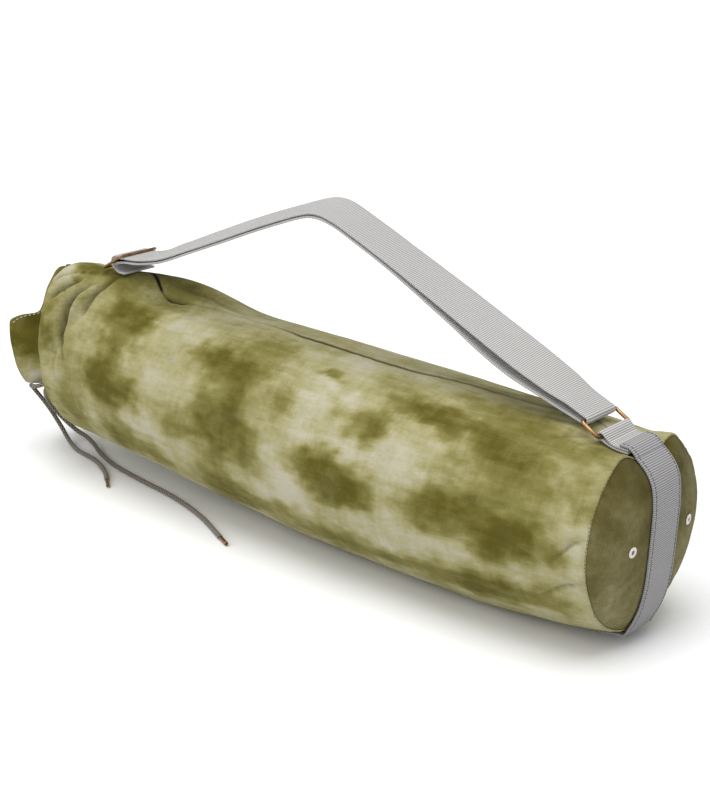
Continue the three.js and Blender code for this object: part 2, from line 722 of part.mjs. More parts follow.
// The heights of the cloth under a band of webbing, at x
function heightsUnderBand(x, side) {
  const heights = spread(-40, 40, 20)
    .map((away) => bodyPoint((x - MOUTH_X) / BAG_LENGTH, side * TOP + away, 0))
    .filter((point) => Math.abs(point.y) <= WEB_WIDTH / 2 + 1)
    .map((point) => point.z);
  return { low: Math.min(...heights), high: Math.max(...heights) };
}

const topHeight = (x) => heightsUnderBand(x, 1).high;
const bottomHeight = (x) => heightsUnderBand(x, -1).low;

// How far the dome stands out under the band, at a height
function domeFront(height) {
  const centre = centreHeight(1);
  const places = [-1, -0.5, 0, 0.5, 1].map((side) => {
    const y = (side * WEB_WIDTH) / 2;
    const angle = THREE.MathUtils.radToDeg(Math.atan2(height - centre, y));
    const edge = bodyPoint(1, angle, CLOTH + SEAM_GAP);
    const way = Math.min(1, Math.hypot(y, height - centre) / Math.hypot(edge.y, edge.z - centre));
    return basePoint(way, angle, 0).x;
  });
  return Math.max(...places);
}

// One layer of webbing over another, middle line to middle line
const LAYER = WEB_THICK + GAP;
const REST = GAP + WEB_THICK / 2;
const roundBar = (wire) => wire / 2 + GAP + WEB_THICK / 2;

// The ring's two long bars, upper one held by the strap and lower one by the tab
const RING_TILT = 31;
const RING_PITCH = RING_DEPTH - WIRE;
const LOWER_BAR_X = BASE_X - RING_BACK;
const lowerBar = new THREE.Vector2(LOWER_BAR_X, topHeight(LOWER_BAR_X) + roundBar(WIRE) + REST + TAB_PLAY);
const upperBar = new THREE.Vector2(
  lowerBar.x - RING_PITCH * Math.cos(rad(RING_TILT)),
  lowerBar.y + RING_PITCH * Math.sin(rad(RING_TILT)),
);

// The slider's three bars, from the mouth's side to the strap's side
const SLIDER_TILT = 30;
const SLIDER_PITCH = (SLIDER_DEPTH - SLIDER_WIRE) / 2;
const SLIDER_X = MOUTH_X + SLIDER_IN;
const sliderAlong = new THREE.Vector2(Math.cos(rad(SLIDER_TILT)), Math.sin(rad(SLIDER_TILT)));
const middleBar = new THREE.Vector2(SLIDER_X, topHeight(SLIDER_X) + SLIDER_RISE);
const frontBar = middleBar.clone().addScaledVector(sliderAlong, SLIDER_PITCH);

// A closed loop of round wire in a plane that holds the Y axis, with rounded corners
function wireFrame(centre, tilt, width, depth, wire) {
  const corner = WIRE_CORNER * wire;
  const halfWidth = (width - wire) / 2 - corner;
  const halfDepth = Math.max(0, (depth - wire) / 2 - corner);
  const quarter = spread(0, 90, 4);
  const path = [[1, 1, 0], [-1, 1, 90], [-1, -1, 180], [1, -1, 270]].flatMap(([u, v, start]) => (
    quarter.map((angle) => [
      u * halfDepth + corner * Math.cos(rad(start + angle)),
      v * halfWidth + corner * Math.sin(rad(start + angle)),
    ])
  ));
  const along = new THREE.Vector3(Math.cos(rad(tilt)), 0, Math.sin(rad(tilt)));
  const across = new THREE.Vector3(0, 1, 0);
  const up = along.clone().cross(across);
  const rows = path.map(([u, v], i) => {
    const [nextU, nextV] = path[(i + 1) % path.length];
    const [lastU, lastV] = path[(i + path.length - 1) % path.length];
    const run = new THREE.Vector2(nextU - lastU, nextV - lastV).normalize();
    const middle = new THREE.Vector3(centre.x, 0, centre.y);
    middle.addScaledVector(along, u).addScaledVector(across, v);
    const sideways = along.clone().multiplyScalar(run.y).addScaledVector(across, -run.x);
    return spread(0, 360, WIRE_SIDES).slice(0, WIRE_SIDES).map((angle) => middle.clone()
      .addScaledVector(sideways, (wire / 2) * Math.cos(rad(angle)))
      .addScaledVector(up, (wire / 2) * Math.sin(rad(angle))));
  });
  return gridGeometry(rows, true);
}

function ring() {
  const centre = lowerBar.clone().add(upperBar).multiplyScalar(0.5);
  return wireFrame(centre, -RING_TILT, RING_WIDTH, RING_DEPTH, WIRE);
}

function slider() {
  const frame = toSolid(wireFrame(middleBar, SLIDER_TILT, SLIDER_WIDTH, SLIDER_DEPTH, SLIDER_WIRE));
  const length = SLIDER_WIDTH - SLIDER_WIRE;
  const bar = new THREE.CylinderGeometry(SLIDER_WIRE / 2, SLIDER_WIRE / 2, length, WIRE_SIDES);
  bar.translate(middleBar.x, 0, middleBar.y);
  return fromSolid(frame.add(toSolid(bar)));
}

// One band: sewn to the bag, up through the slider, over to the ring, back, and round the middle bar
function shoulderStrap() {
  const span = upperBar.x - frontBar.x;
  const layer = (rows) => rows.map(({ along, height }) => (
    new THREE.Vector2(frontBar.x + span * along, STRAP_TOP * height)
  ));
  const up = new THREE.Vector2(-sliderAlong.y, sliderAlong.x);
  const offset = (bar, distance, run = 0) => (
    bar.clone().addScaledVector(up, distance).addScaledVector(sliderAlong, run)
  );
  const around = roundBar(SLIDER_WIRE);
  const sewn = [SEWN_RUN, SEWN_RUN * 0.7, SEWN_RUN * 0.4].map((run) => {
    const x = middleBar.x + run;
    return new THREE.Vector2(x, topHeight(x) + REST + 0.3);
  });
  const upThroughSlider = arc(middleBar, around + LAYER, 180, 120 - 10);
  const overRing = arc(upperBar, roundBar(WIRE), 68, -108);
  const underFront = offset(frontBar, -around - SLIDER_PLAY);
  const returnUnderFront = offset(frontBar, -around - SLIDER_PLAY - 2 * LAYER);
  const loopEnd = offset(frontBar, -around - SLIDER_PLAY - LAYER, 4);
  const points = [
    ...sewn,
    new THREE.Vector2(middleBar.x + 3, topHeight(middleBar.x) + REST + 0.8),
    new THREE.Vector2(middleBar.x - 3.4, middleBar.y - 4.6),
    ...upThroughSlider,
    underFront,
    ...layer(UPPER_LAYER),
    ...overRing,
    ...layer(LOWER_LAYER).reverse(),
    returnUnderFront,
    ...arc(middleBar, around, -60, -240),
    loopEnd,
  ];
  const line = smoothLine(points);
  const farEnd = Math.max(...line.map((point) => point.x));
  const turning = line.findIndex((point) => point.x === farEnd);
  const lean = (point, i) => (
    fromTable(STRAP_ROLL, (point.x - frontBar.x) / span, 'along', i < turning ? 'upper' : 'lower')
  );
  return leaningWebbing(line, lean);
}

// The webbing loop that holds the ring's lower bar
function ringTab() {
  const end = BASE_X - TAB_REACH;
  const above = (x, rise) => new THREE.Vector2(x, topHeight(x) + REST + TAB_PLAY + rise);
  const under = spread(end, lowerBar.x + 5, 3).map((x) => above(x, 0));
  const over = spread(lowerBar.x + 9, end, 2).map((x) => above(x, LAYER));
  const turn = arc(lowerBar, roundBar(WIRE), -95, -310);
  return webbing(smoothLine([...under, ...turn, ...over]));
}

// The band over the base: from the top, over the tab's end, down the dome and under the belly
function baseWebbing() {
  const centre = centreHeight(1);
  const onTop = [2.2, 1.5, 1].map((share) => {
    const x = BASE_X - TAB_REACH * share;
    return new THREE.Vector2(x, topHeight(x) + 2 * LAYER + TAB_PLAY);
  });
  const rise = topHeight(BASE_X) - centre;
  const fall = centre - bottomHeight(BASE_X);
  const heights = [...[0.99, 0.93, 0.84, 0.7, 0.45, 0.15].map((share) => share * rise),
    ...[0.15, 0.45, 0.7, 0.84, 0.93, 0.99].map((share) => -share * fall)].map((away) => centre + away);
  const onDome = heights.map((height) => new THREE.Vector2(domeFront(height), height));
  const topEdge = new THREE.Vector2(BASE_X, topHeight(BASE_X));
  const bottomEdge = new THREE.Vector2(BASE_X, bottomHeight(BASE_X));
  const below = [8, WEB_TUCK].map((back) => new THREE.Vector2(BASE_X - back, bottomHeight(BASE_X - back)));
  const support = [...onTop, topEdge, ...onDome, bottomEdge, ...below];
  return webbing(smoothLine(offsetLine(support, REST + BAND_PLAY)));
}

const bag = new THREE.Group();
const add = (name, geometry, material) => {
  const mesh = new THREE.Mesh(geometry, material);
  mesh.name = name;
  bag.add(mesh);
};
add('body_panel', bodyPanel(), materials.canvas);
add('base_panel', basePanel(), materials.base);
add('eyelet_near', eyelet(-1), materials.eyelet);
add('eyelet_far', eyelet(1), materials.eyelet);
add('cord_channel', cordChannel(), materials.channel);
add('cord_loop', cordLoop(), materials.cord);
add('cord_tail_a', cordTail(TAIL_A, OPENING_ANGLE - OPENING_HALF, 1), materials.cord);
add('cord_tail_b', cordTail(TAIL_B, OPENING_ANGLE + OPENING_HALF, -1), materials.cord);
add('aglet_a', aglet(TAIL_A), materials.copper);
add('aglet_b', aglet(TAIL_B), materials.copper);
add('base_webbing', baseWebbing(), materials.webbing);
add('ring_tab', ringTab(), materials.webbing);
add('ring', ring(), materials.copper);
add('slider', slider(), materials.copper);
add('shoulder_strap', shoulderStrap(), materials.webbing);

export default bag;
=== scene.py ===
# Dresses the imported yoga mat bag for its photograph: tie-dyed canvas, webbing, wire fittings and drawcord
import math

import bpy
from mathutils import Matrix, Vector, noise


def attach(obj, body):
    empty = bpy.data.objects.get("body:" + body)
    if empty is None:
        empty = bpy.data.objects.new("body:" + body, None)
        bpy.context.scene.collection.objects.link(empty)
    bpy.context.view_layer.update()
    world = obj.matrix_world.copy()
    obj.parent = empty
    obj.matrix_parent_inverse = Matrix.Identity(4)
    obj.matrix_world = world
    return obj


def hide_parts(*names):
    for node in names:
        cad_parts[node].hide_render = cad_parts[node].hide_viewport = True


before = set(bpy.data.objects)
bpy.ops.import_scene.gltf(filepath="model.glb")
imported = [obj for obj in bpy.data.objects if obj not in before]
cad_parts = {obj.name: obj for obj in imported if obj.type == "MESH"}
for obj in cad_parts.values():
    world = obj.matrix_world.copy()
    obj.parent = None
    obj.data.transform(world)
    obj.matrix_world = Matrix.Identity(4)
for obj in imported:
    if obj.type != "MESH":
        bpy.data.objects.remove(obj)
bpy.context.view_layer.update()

# Sizes in millimetres, the same as the solids have
BAG_LENGTH = 615
BAG_RADIUS = 85
MIDDLE_SHIFT = 33.9
CLOTH = 1.5
GAP = 0.3
SEAM_GAP = 0.55
NECK_REACH = 42
COLLAR_REACH = 50
BASE_BULGE = 16
BASE_LEAN = 4
BASE_HEM = 8
WEB_WIDTH = 38
WEB_THICK = 1.8
WIRE = 3
RING_WIDTH = 47
RING_DEPTH = 20
RING_BACK = 29.4
RING_TILT = 31
WIRE_CORNER = 0.85
WIRE_SIDES = 20
SLIDER_WIRE = 2.6
SLIDER_WIDTH = 47
SLIDER_DEPTH = 32
SLIDER_IN = 44
SLIDER_RISE = 11.5
SLIDER_TILT = 30
SEWN_RUN = 13
SLIDER_PLAY = 0.45
CORD_DIAMETER = 4.5
CORD_PLAY = 0.8
CORD_STEP = 2.5
CORD_SIDES = 12
AGLET_LENGTH = 15
AGLET_DIAMETER = 3.6
AGLET_WALL = 0.5
CHANNEL_WIDTH = 15
FLAP_WIDTH = 7
FLAP_HEIGHT = 0.9
CHANNEL_CLOTH = 1.2
CHANNEL_OPENING = 26
OPENING_ANGLE = 209
THROAT_MIDDLE = 0.815
EYELET_SPREAD = 39.4
EYELET_HOLE = 3.8
EYELET_FLANGE = 8.6
EYELET_METAL = 0.6
DRILL_REACH = 7
TAB_REACH = 6
TAB_PLAY = 0.4
WEB_TUCK = 24
BAND_PLAY = 0.3
STRAP_TOP = 295.5
GATHERS = 9
PRESS_SPREAD = 22
TURN_STEP = 18
MM = 0.001
PARALLEL = 1e-3
MOUTH_X = MIDDLE_SHIFT - BAG_LENGTH / 2
BASE_X = MIDDLE_SHIFT + BAG_LENGTH / 2
MM_PER_DEGREE = 1.5

# Sizes of the looks in millimetres: weaves, the cord's braid, and the crease depth at which the painted
# crease shade is full
TWILL = 2.3
WEB_RIB = 1.7
WEB_CELL = 1.65
CORD_STRANDS = 4
CORD_PICK = 4.2
FULL_SHADE_CREASE_DEPTH = 4.5

# The photograph's camera: the picture's size in pixels, the focal length in pixels, and where it looks from
PICTURE = (710, 800)
FOCAL_PIXELS = 1518.384
CAMERA_TARGET = (26.4, 0, 76.5)
CAMERA_AZIMUTH = 42.534
CAMERA_ELEVATION = 21.053
CAMERA_ROLL = -0.277
CAMERA_DISTANCE = 1331.185
CAMERA_YAW = -1.02
CAMERA_PITCH = -1.809
SENSOR_WIDTH = 36
VIEW_REACH = 60


def rows(names, *values):
    return [dict(zip(names.split(), row)) for row in values]


# Cross-sections along the bag, in shares of its length and radius
PROFILE = rows(
    "along radius lift sag",
    (0.0, 0.87, 0.276, 0.0),
    (0.12, 0.918, 0.224, 0.0),
    (0.26, 0.963, 0.137, 0.0),
    (0.42, 1.005, 0.053, 0.085),
    (0.61, 1.018, -0.018, 0.03),
    (0.795, 0.992, -0.03, 0.01),
    (0.92, 0.962, 0.043, 0.0),
    (1.0, 0.929, 0.136, 0.0),
)
SAG_SPREAD = 21
# The tented top over the round section: height in shares of the radius, place and spread in degrees
TENT = rows(
    "along height angle spread",
    (-0.02, 0.375, 112, 38),
    (0.062, 0.265, 100, 34),
    (0.12, 0.23, 86, 24),
    (0.18, 0.2, 78, 18),
    (0.245, 0.13, 76, 17),
    (0.31, 0.035, 76, 16),
    (0.37, 0.0, 76, 16),
    (1.0, 0.0, 76, 16),
)
# How deep the band at the base presses the top in, in shares of the radius
PRESS = rows(
    "along depth", (0.0, 0.0), (0.905, 0.0), (0.93, 0.035), (0.953, 0.11), (0.98, 0.19), (1.0, 0.212)
)
# Broad folds: depth in shares of the radius, width in degrees, drift in degrees over one length
FOLDS = rows(
    "along length angle width depth drift",
    (0.165, 0.045, 97, 7, 0.075, -3),
    (0.045, 0.035, 133, 9, 0.095, -16),
    (0.02, 0.03, 158, 8, 0.06, -14),
    (0.03, 0.04, 58, 9, 0.06, 10),
    (0.02, 0.03, 22, 9, 0.05, 6),
    (0.02, 0.03, 215, 9, 0.04, 8),
    (0.02, 0.03, 318, 10, 0.05, -8),
    (0.9, 0.05, 116, 8, 0.035, -9),
    (0.95, 0.05, 192, 9, 0.03, 12),
    (0.98, 0.05, 48, 20, 0.05, -8),
    (0.35, 0.12, 168, 14, 0.02, 10),
    (0.62, 0.12, 140, 13, 0.018, -10),
    (0.5, 0.15, 20, 15, 0.02, 8),
)
# The neck from the rim to the throat: its radius, how much of the tent it keeps, and how deep it gathers
NECK = rows(
    "out radius tent gather",
    (0.0, 0.87, 1.0, 0.0),
    (0.22, 0.855, 1.0, 0.006),
    (0.38, 0.79, 0.85, 0.014),
    (0.47, 0.68, 0.55, 0.026),
    (0.54, 0.575, 0.18, 0.026),
    (0.62, 0.54, 0.0, 0.016),
    (1.0, 0.54, 0.0, 0.016),
)
# The free collar's edge round the mouth: how far out it reaches, and its radius
HEM = rows(
    "angle out radius",
    (0, 0.86, 0.74),
    (30, 0.66, 0.7),
    (50, 0.7, 0.86),
    (68, 0.7, 0.96),
    (86, 0.6, 0.95),
    (104, 0.4, 0.84),
    (128, 0.26, 0.7),
    (142, 0.58, 0.79),
    (147, 0.67, 0.81),
    (152, 0.64, 0.8),
    (172, 0.5, 0.76),
    (199, 0.26, 0.75),
    (212, 0.14, 0.6),
    (232, 0.3, 0.6),
    (268, 0.8, 0.62),
    (300, 0.62, 0.7),
    (330, 0.9, 0.66),
)


def from_table(table, position, column):
    """Smooth value of one column at a place on the table's first column, by monotone cubic pieces."""
    key = next(iter(table[0]))
    last = len(table) - 1
    if position <= table[0][key]:
        return table[0][column]
    if position >= table[last][key]:
        return table[last][column]

    def slope(i):
        return (table[i + 1][column] - table[i][column]) / (table[i + 1][key] - table[i][key])

    def tangent(i):
        if i == 0:
            return slope(0)
        if i == last:
            return slope(last - 1)
        before, after = slope(i - 1), slope(i)
        return 0.0 if before * after <= 0 else 2 * before * after / (before + after)

    row = 0
    while position > table[row + 1][key]:
        row += 1
    step = table[row + 1][key] - table[row][key]
    t = (position - table[row][key]) / step
    start = table[row][column] * (1 + 2 * t) * (1 - t) ** 2 + tangent(row) * step * t * (1 - t) ** 2
    end = table[row + 1][column] * t * t * (3 - 2 * t) + tangent(row + 1) * step * t * t * (t - 1)
    return start + end


def from_turn(table, angle, column):
    """The same for a table that closes on itself after a full turn."""
    turns = [dict(row, angle=row["angle"] + shift) for shift in (-360, 0, 360) for row in table]
    return from_table(turns, angle, column)


def turn_between(a, b):
    """Degrees from b to a, the shorter way round."""
    return (a - b + 540) % 360 - 180


def bell(distance, width, power=2):
    """1 at no distance, falling smoothly to 0; a higher power has a flatter top."""
    return math.exp(-abs(distance / width) ** power)


def sin(degrees):
    return math.sin(math.radians(degrees))


def cos(degrees):
    return math.cos(math.radians(degrees))


def centre_height(along):
    return BAG_RADIUS * (from_table(PROFILE, along, "radius") + from_table(PROFILE, along, "lift"))


def tent_at(along, angle):
    away = turn_between(angle, from_table(TENT, along, "angle"))
    return from_table(TENT, along, "height") * bell(away, from_table(TENT, along, "spread"))


def folds_at(folds, along, angle):
    depth = 0.0
    for fold in folds:
        run = (along - fold["along"]) / fold["length"]
        if abs(run) < 3:
            away = turn_between(angle, fold["angle"] + fold["drift"] * run)
            depth += fold["depth"] * bell(run, 1) * bell(away, fold["width"])
    return depth


def body_share(along, angle):
    """Radius of the bag's section in shares of BAG_RADIUS."""
    press = from_table(PRESS, along, "depth") * bell(turn_between(angle, 90), PRESS_SPREAD, 4)
    sag = from_table(PROFILE, along, "sag") * bell(turn_between(angle, 270), SAG_SPREAD)
    radius = from_table(PROFILE, along, "radius")
    return radius + sag + tent_at(along, angle) - folds_at(FOLDS, along, angle) - press


def section_point(x, share, centre, angle, inset):
    radius = BAG_RADIUS * share - inset
    return (x, radius * cos(angle), max(centre + radius * sin(angle), inset))


def body_point(along, angle, inset=0.0):
    x = MOUTH_X + BAG_LENGTH * along
    return section_point(x, body_share(along, angle), centre_height(along), angle, inset)


def gather_at(angle):
    """The gathers' wave round the throat, between -1 and 1, closer on one side than on the other."""
    return cos(GATHERS * angle + 40 * sin(angle))


def neck_point(out, angle, inset=0.0):
    fold = folds_at(FOLDS, 0, angle) * max(0, 1 - 2 * out)
    share = (
        from_table(NECK, out, "radius")
        - fold
        + tent_at(-0.02 * min(1, 3 * out), angle) * from_table(NECK, out, "tent")
        + from_table(NECK, out, "gather") * gather_at(angle)
    )
    return section_point(MOUTH_X - NECK_REACH * out, share, centre_height(0), angle, inset)


def collar_point(reach, angle, inset=0.0):
    neck = NECK[-1]
    start = neck["radius"] + neck["gather"] * gather_at(angle) * (1 - reach)
    share = start + (from_turn(HEM, angle, "radius") - start) * reach**1.25
    x = MOUTH_X - NECK_REACH - COLLAR_REACH * from_turn(HEM, angle, "out") * reach
    return section_point(x, share, centre_height(0), angle, inset)


def placed(name, data):
    """A new object in the scene."""
    made = bpy.data.objects.new(name, data)
    bpy.context.scene.collection.objects.link(made)
    return made


def applied(piece):
    """The piece's mesh with its modifiers worked in."""
    bpy.context.view_layer.update()
    return bpy.data.meshes.new_from_object(piece.evaluated_get(bpy.context.evaluated_depsgraph_get()))


# Camera, at the photograph's place
def unit_axes(azimuth, elevation):
    """Directions towards the camera, to its right and up, for a camera at an azimuth and elevation."""
    back = Vector((sin(azimuth) * cos(elevation), -cos(azimuth) * cos(elevation), sin(elevation)))
    right = Vector((cos(azimuth), sin(azimuth), 0))
    return back, right, back.cross(right)


def turned_to(right, up, back):
    """The matrix that turns a camera or a lamp to these directions."""
    return Matrix((right, up, back)).transposed().to_4x4()


def add_camera():
    towards, _, _ = unit_axes(CAMERA_AZIMUTH, CAMERA_ELEVATION)
    back, right, up = unit_axes(CAMERA_AZIMUTH + CAMERA_YAW, CAMERA_ELEVATION + CAMERA_PITCH)
    rolled_right = right * cos(CAMERA_ROLL) + up * sin(CAMERA_ROLL)
    rolled_up = up * cos(CAMERA_ROLL) - right * sin(CAMERA_ROLL)
    lens = bpy.data.cameras.new("photo_camera")
    lens.sensor_width = SENSOR_WIDTH
    lens.lens = FOCAL_PIXELS / max(PICTURE) * SENSOR_WIDTH
    lens.clip_end = VIEW_REACH
    camera = placed("photo_camera", lens)
    place = (Vector(CAMERA_TARGET) + towards * CAMERA_DISTANCE) * MM
    camera.matrix_world = Matrix.Translation(place) @ turned_to(rolled_right, rolled_up, back)
    bpy.context.scene.camera = camera


add_camera()


# Materials
def tint(code):
    """A colour from its red, green and blue on a screen, as a six-digit code."""
    parts = [((code >> shift) & 255) / 255 for shift in (16, 8, 0)]
    return (*(p / 12.92 if p <= 0.04045 else ((p + 0.055) / 1.055) ** 2.4 for p in parts), 1.0)


class Value:
    """A number, colour or vector that varies over a surface, in one material."""

    def __init__(self, finish, socket):
        self.finish = finish
        self.socket = socket

    def math(self, operation, *others):
        return self.finish.math(operation, self, *others)

    def __add__(self, other):
        return self.finish.math("ADD", self, other)

    __radd__ = __add__

    def __sub__(self, other):
        return self.finish.math("SUBTRACT", self, other)

    def __rsub__(self, other):
        return self.finish.math("SUBTRACT", other, self)

    def __mul__(self, other):
        return self.finish.math("MULTIPLY", self, other)

    __rmul__ = __mul__

    def __truediv__(self, other):
        return self.finish.math("DIVIDE", self, other)

    def step(self, low, high):
        """0 below low, 1 above high, and smooth between."""
        sockets = {"Value": self, "From Min": low, "From Max": high}
        return self.finish.node("ShaderNodeMapRange", {"interpolation_type": "SMOOTHSTEP"}, sockets)

    def wave(self, length, shift=0.0):
        """A wave between 0 and 1, once in each length."""
        return (self * (2 * math.pi / length) + shift).math("SINE") * 0.5 + 0.5

    def part(self, index):
        """One part of a vector."""
        return self.finish.node("ShaderNodeSeparateXYZ", {}, {0: self}, index)


class Finish:
    """A material and the nodes that work out its colour and relief."""

    def __init__(self, name, fixed):
        self.material = bpy.data.materials.new(name)
        self.material.use_nodes = True
        self.tree = self.material.node_tree
        self.shader = self.tree.nodes["Principled BSDF"]
        for socket, value in fixed.items():
            self.set(socket, value)

    def set(self, socket, value):
        self.fill(self.shader.inputs[socket], value)

    def fill(self, socket, value):
        if isinstance(value, Value):
            self.tree.links.new(value.socket, socket)
        else:
            socket.default_value = value

    def node(self, kind, settings, sockets, output=0):
        """Any node: its settings first, then the values or links of its sockets; gives one of its outputs."""
        made = self.tree.nodes.new(kind)
        for name, value in settings.items():
            if name == "stops":
                set_stops(made.color_ramp, value)
            else:
                setattr(made, name, value)
        for name, value in sockets.items():
            self.fill(made.inputs[name], value)
        return Value(self, made.outputs[output])

    def math(self, operation, *values):
        return self.node("ShaderNodeMath", {"operation": operation}, dict(enumerate(values)))

    def mix(self, share, first, second):
        """The first colour at a share of 0 and the second at 1."""
        return self.node("ShaderNodeMix", {"data_type": "RGBA"}, {0: share, 6: first, 7: second}, 2)

    def ramp(self, value, *stops):
        return self.node("ShaderNodeValToRGB", {"stops": stops}, {0: value})

    def attribute(self, name):
        return self.node("ShaderNodeAttribute", {"attribute_name": name}, {}, "Fac")

    def surface_millimetres(self):
        """How far along and across the piece a point lies, from the piece's own UV map."""
        flat = self.node("ShaderNodeUVMap", {"uv_map": "flat"}, {})
        return flat.part(0) * (1 / MM), flat.part(1) * (1 / MM)

    def grain(self, scale, detail=3.0, roughness=0.5, stretch=(1, 1, 1)):
        """Soft noise between 0 and 1, with a number of spots to the metre."""
        place = self.node("ShaderNodeTexCoord", {}, {}, "Object")
        at = self.node("ShaderNodeMapping", {}, {"Vector": place, "Scale": stretch})
        sockets = {"Vector": at, "Scale": scale, "Detail": detail, "Roughness": roughness}
        return self.node("ShaderNodeTexNoise", {}, sockets)

    def relief(self, height, depth, under=None, strength=1.0):
        """Bump of a depth in millimetres, on top of the bump under it."""
        sockets = {"Height": height, "Distance": depth * MM, "Strength": strength}
        if under:
            sockets["Normal"] = under
        return self.node("ShaderNodeBump", {}, sockets)


def set_stops(ramp, stops):
    while len(ramp.elements) < len(stops):
        ramp.elements.new(0.5)
    for element, (position, colour) in zip(ramp.elements, stops):
        element.position = position
        element.color = colour


BODY_DYES = tint(0xB3AE98), tint(0x9C966C), tint(0x7C7642), tint(0x585118), tint(0x474009)
# The base's colours: a darker olive dye than the body's, darkened further as painted shade on the upright
# base end
BASE_DYES_WITH_PAINTED_SHADE = tint(0xA29B78), tint(0x827B52), tint(0x675F35), tint(0x4A4216), tint(0x3C350C)
GREY_GREEN = tint(0x6C6E50)
TWILL_SHADE = tint(0x35321A)
# Painted shade for the body's creases
PAINTED_CREASE_SHADE = tint(0x38330A)
SEAM_SHADE = tint(0x14120A)


def canvas(name, weave, dyes, body=True):
    """Tie-dyed cotton twill: the dye follows the piece's own dye values, broken up by noise. On the body,
    painted shade darkens the creases, and the long seam's dark line holds painted shadow near the mouth end.

    weave is how strongly the twill shows, and dyes are the colours from pale to dark.
    """
    fixed = {"Roughness": 0.92, "Sheen Weight": 0.03, "Sheen Roughness": 0.5, "Specular IOR Level": 0.15}
    finish = Finish(name, fixed)
    along, across = finish.surface_millimetres()
    clouds = finish.grain(32, 7, 0.7, (0.8, 1, 1))
    along_streaks = finish.grain(75, 5, 0.6, (0.3, 2, 2))
    round_streaks = finish.grain(75, 5, 0.6, (2.5, 0.35, 0.35))
    level = finish.attribute("dye") + (clouds - 0.5) * 1.15
    level = level + (along_streaks - 0.5) * 0.5 + (round_streaks - 0.5) * 0.25
    pale, light, olive, dark, darkest = dyes
    dyed = finish.ramp(level * 0.6, (0.0, pale), (0.22, light), (0.42, olive), (0.68, dark), (0.9, darkest))
    greyed = finish.grain(17, 4, 0.6).step(0.52, 0.8) * 0.2
    dyed = finish.mix(greyed, dyed, GREY_GREEN)
    threads = (along + across).wave(TWILL)
    fuzz = finish.grain(700, 3, 0.65)
    cloth = finish.mix((1 - threads) * weave + (fuzz - 0.45) * 0.3, dyed, TWILL_SHADE)
    if body:
        # Painted shade in the creases, darker the deeper the crease
        cloth = finish.mix(finish.attribute("fold") * 0.8, cloth, PAINTED_CREASE_SHADE)
        # The long seam's dark line, with painted shadow of its overlapping edge near the mouth end
        cloth = finish.mix(finish.attribute("seam") * 0.9, cloth, SEAM_SHADE)
    finish.set("Base Color", cloth)
    soft = finish.relief(finish.grain(55, 4, 0.55, (0.5, 1.3, 1.3)), 3.4, strength=0.6)
    finish.set("Normal", finish.relief(threads * weave * 2.5 + fuzz * 0.6, 0.3, soft))
    return finish.material


def ribbed_webbing(name, deep, middle, bright):
    """Grey webbing: a rib across the band at each pick, broken into cells by the warp."""
    finish = Finish(name, {"Roughness": 0.8, "Sheen Weight": 0.1, "Specular IOR Level": 0.3})
    along, across = finish.surface_millimetres()
    rib = along.wave(WEB_RIB)
    cell = across.wave(WEB_CELL, (along / WEB_RIB).math("FLOOR") * math.pi)
    weave = rib * 0.7 + rib * cell * 0.3
    shade = finish.ramp(weave, (0.0, deep), (0.35, middle), (1.0, bright))
    mottle = finish.grain(60, 3, 0.6)
    finish.set("Base Color", finish.mix((mottle - 0.5) * 0.5, shade, middle))
    finish.set("Normal", finish.relief(weave, 0.5))
    return finish.material


def copper_wire(name):
    """Antique copper plating, darker where it is tarnished."""
    finish = Finish(name, {"Metallic": 1.0})
    tarnish = finish.grain(120, 4, 0.65).step(0.42, 0.68)
    finish.set("Base Color", finish.mix(tarnish * 0.6, tint(0xA67F58), tint(0x4E3A2A)))
    finish.set("Roughness", tarnish * 0.2 + 0.24)
    finish.set("Normal", finish.relief(finish.grain(700, 2), 0.05))
    return finish.material


def braided_cord(name):
    """Round braid: two sets of strands that cross."""
    finish = Finish(name, {"Roughness": 0.85, "Sheen Weight": 0.15})
    along, across = finish.surface_millimetres()
    turn = across * (CORD_STRANDS / (math.pi * CORD_DIAMETER))
    one = (along / CORD_PICK + turn).wave(1)
    other = (along / CORD_PICK - turn).wave(1)
    strands = one.math("MAXIMUM", other)
    stops = (0.45, tint(0x3B352E)), (0.8, tint(0x6C645A)), (1.0, tint(0x8C8377))
    finish.set("Base Color", finish.ramp(strands, *stops))
    finish.set("Normal", finish.relief(strands, 0.5))
    return finish.material


def white_enamel(name):
    finish = Finish(name, {"Roughness": 0.35, "Specular IOR Level": 0.6})
    wear = finish.grain(500, 3).step(0.6, 0.75)
    finish.set("Base Color", finish.mix(wear * 0.4, tint(0xD9D4CC), tint(0xA09A8E)))
    return finish.material


def sewing_thread(name, colour):
    finish = Finish(name, {"Roughness": 0.7})
    twist = finish.grain(1500, 1)
    finish.set("Base Color", finish.mix(twist * 0.4, colour, tint(0x7D7866)))
    finish.set("Normal", finish.relief(twist, 0.1))
    return finish.material


CANVAS = canvas("tie_dyed_canvas", 0.08, BODY_DYES)
# Base twill with the darker base colours, which are partly painted shade
BASE_CANVAS = canvas("base_twill", 0.3, BASE_DYES_WITH_PAINTED_SHADE, body=False)
WEBBING = ribbed_webbing("grey_webbing", tint(0x888684), tint(0xB4B2B0), tint(0xCECCC9))
# The base band is the strap's grey webbing painted darker, as painted shade on the upright base end
SHADED_BAND_WEBBING = ribbed_webbing("band_webbing_painted_shade", tint(0x706E6F), tint(0x969495), tint(0xB2B0B1))
COPPER = copper_wire("antique_copper")
CORD = braided_cord("cord_braid")
ENAMEL = white_enamel("white_enamel")
CREAM_THREAD = sewing_thread("cream_thread", tint(0xE4DFCB))
GREY_THREAD = sewing_thread("grey_thread", tint(0x575553))
DARK_THREAD = sewing_thread("dark_thread", tint(0x1C1A10))


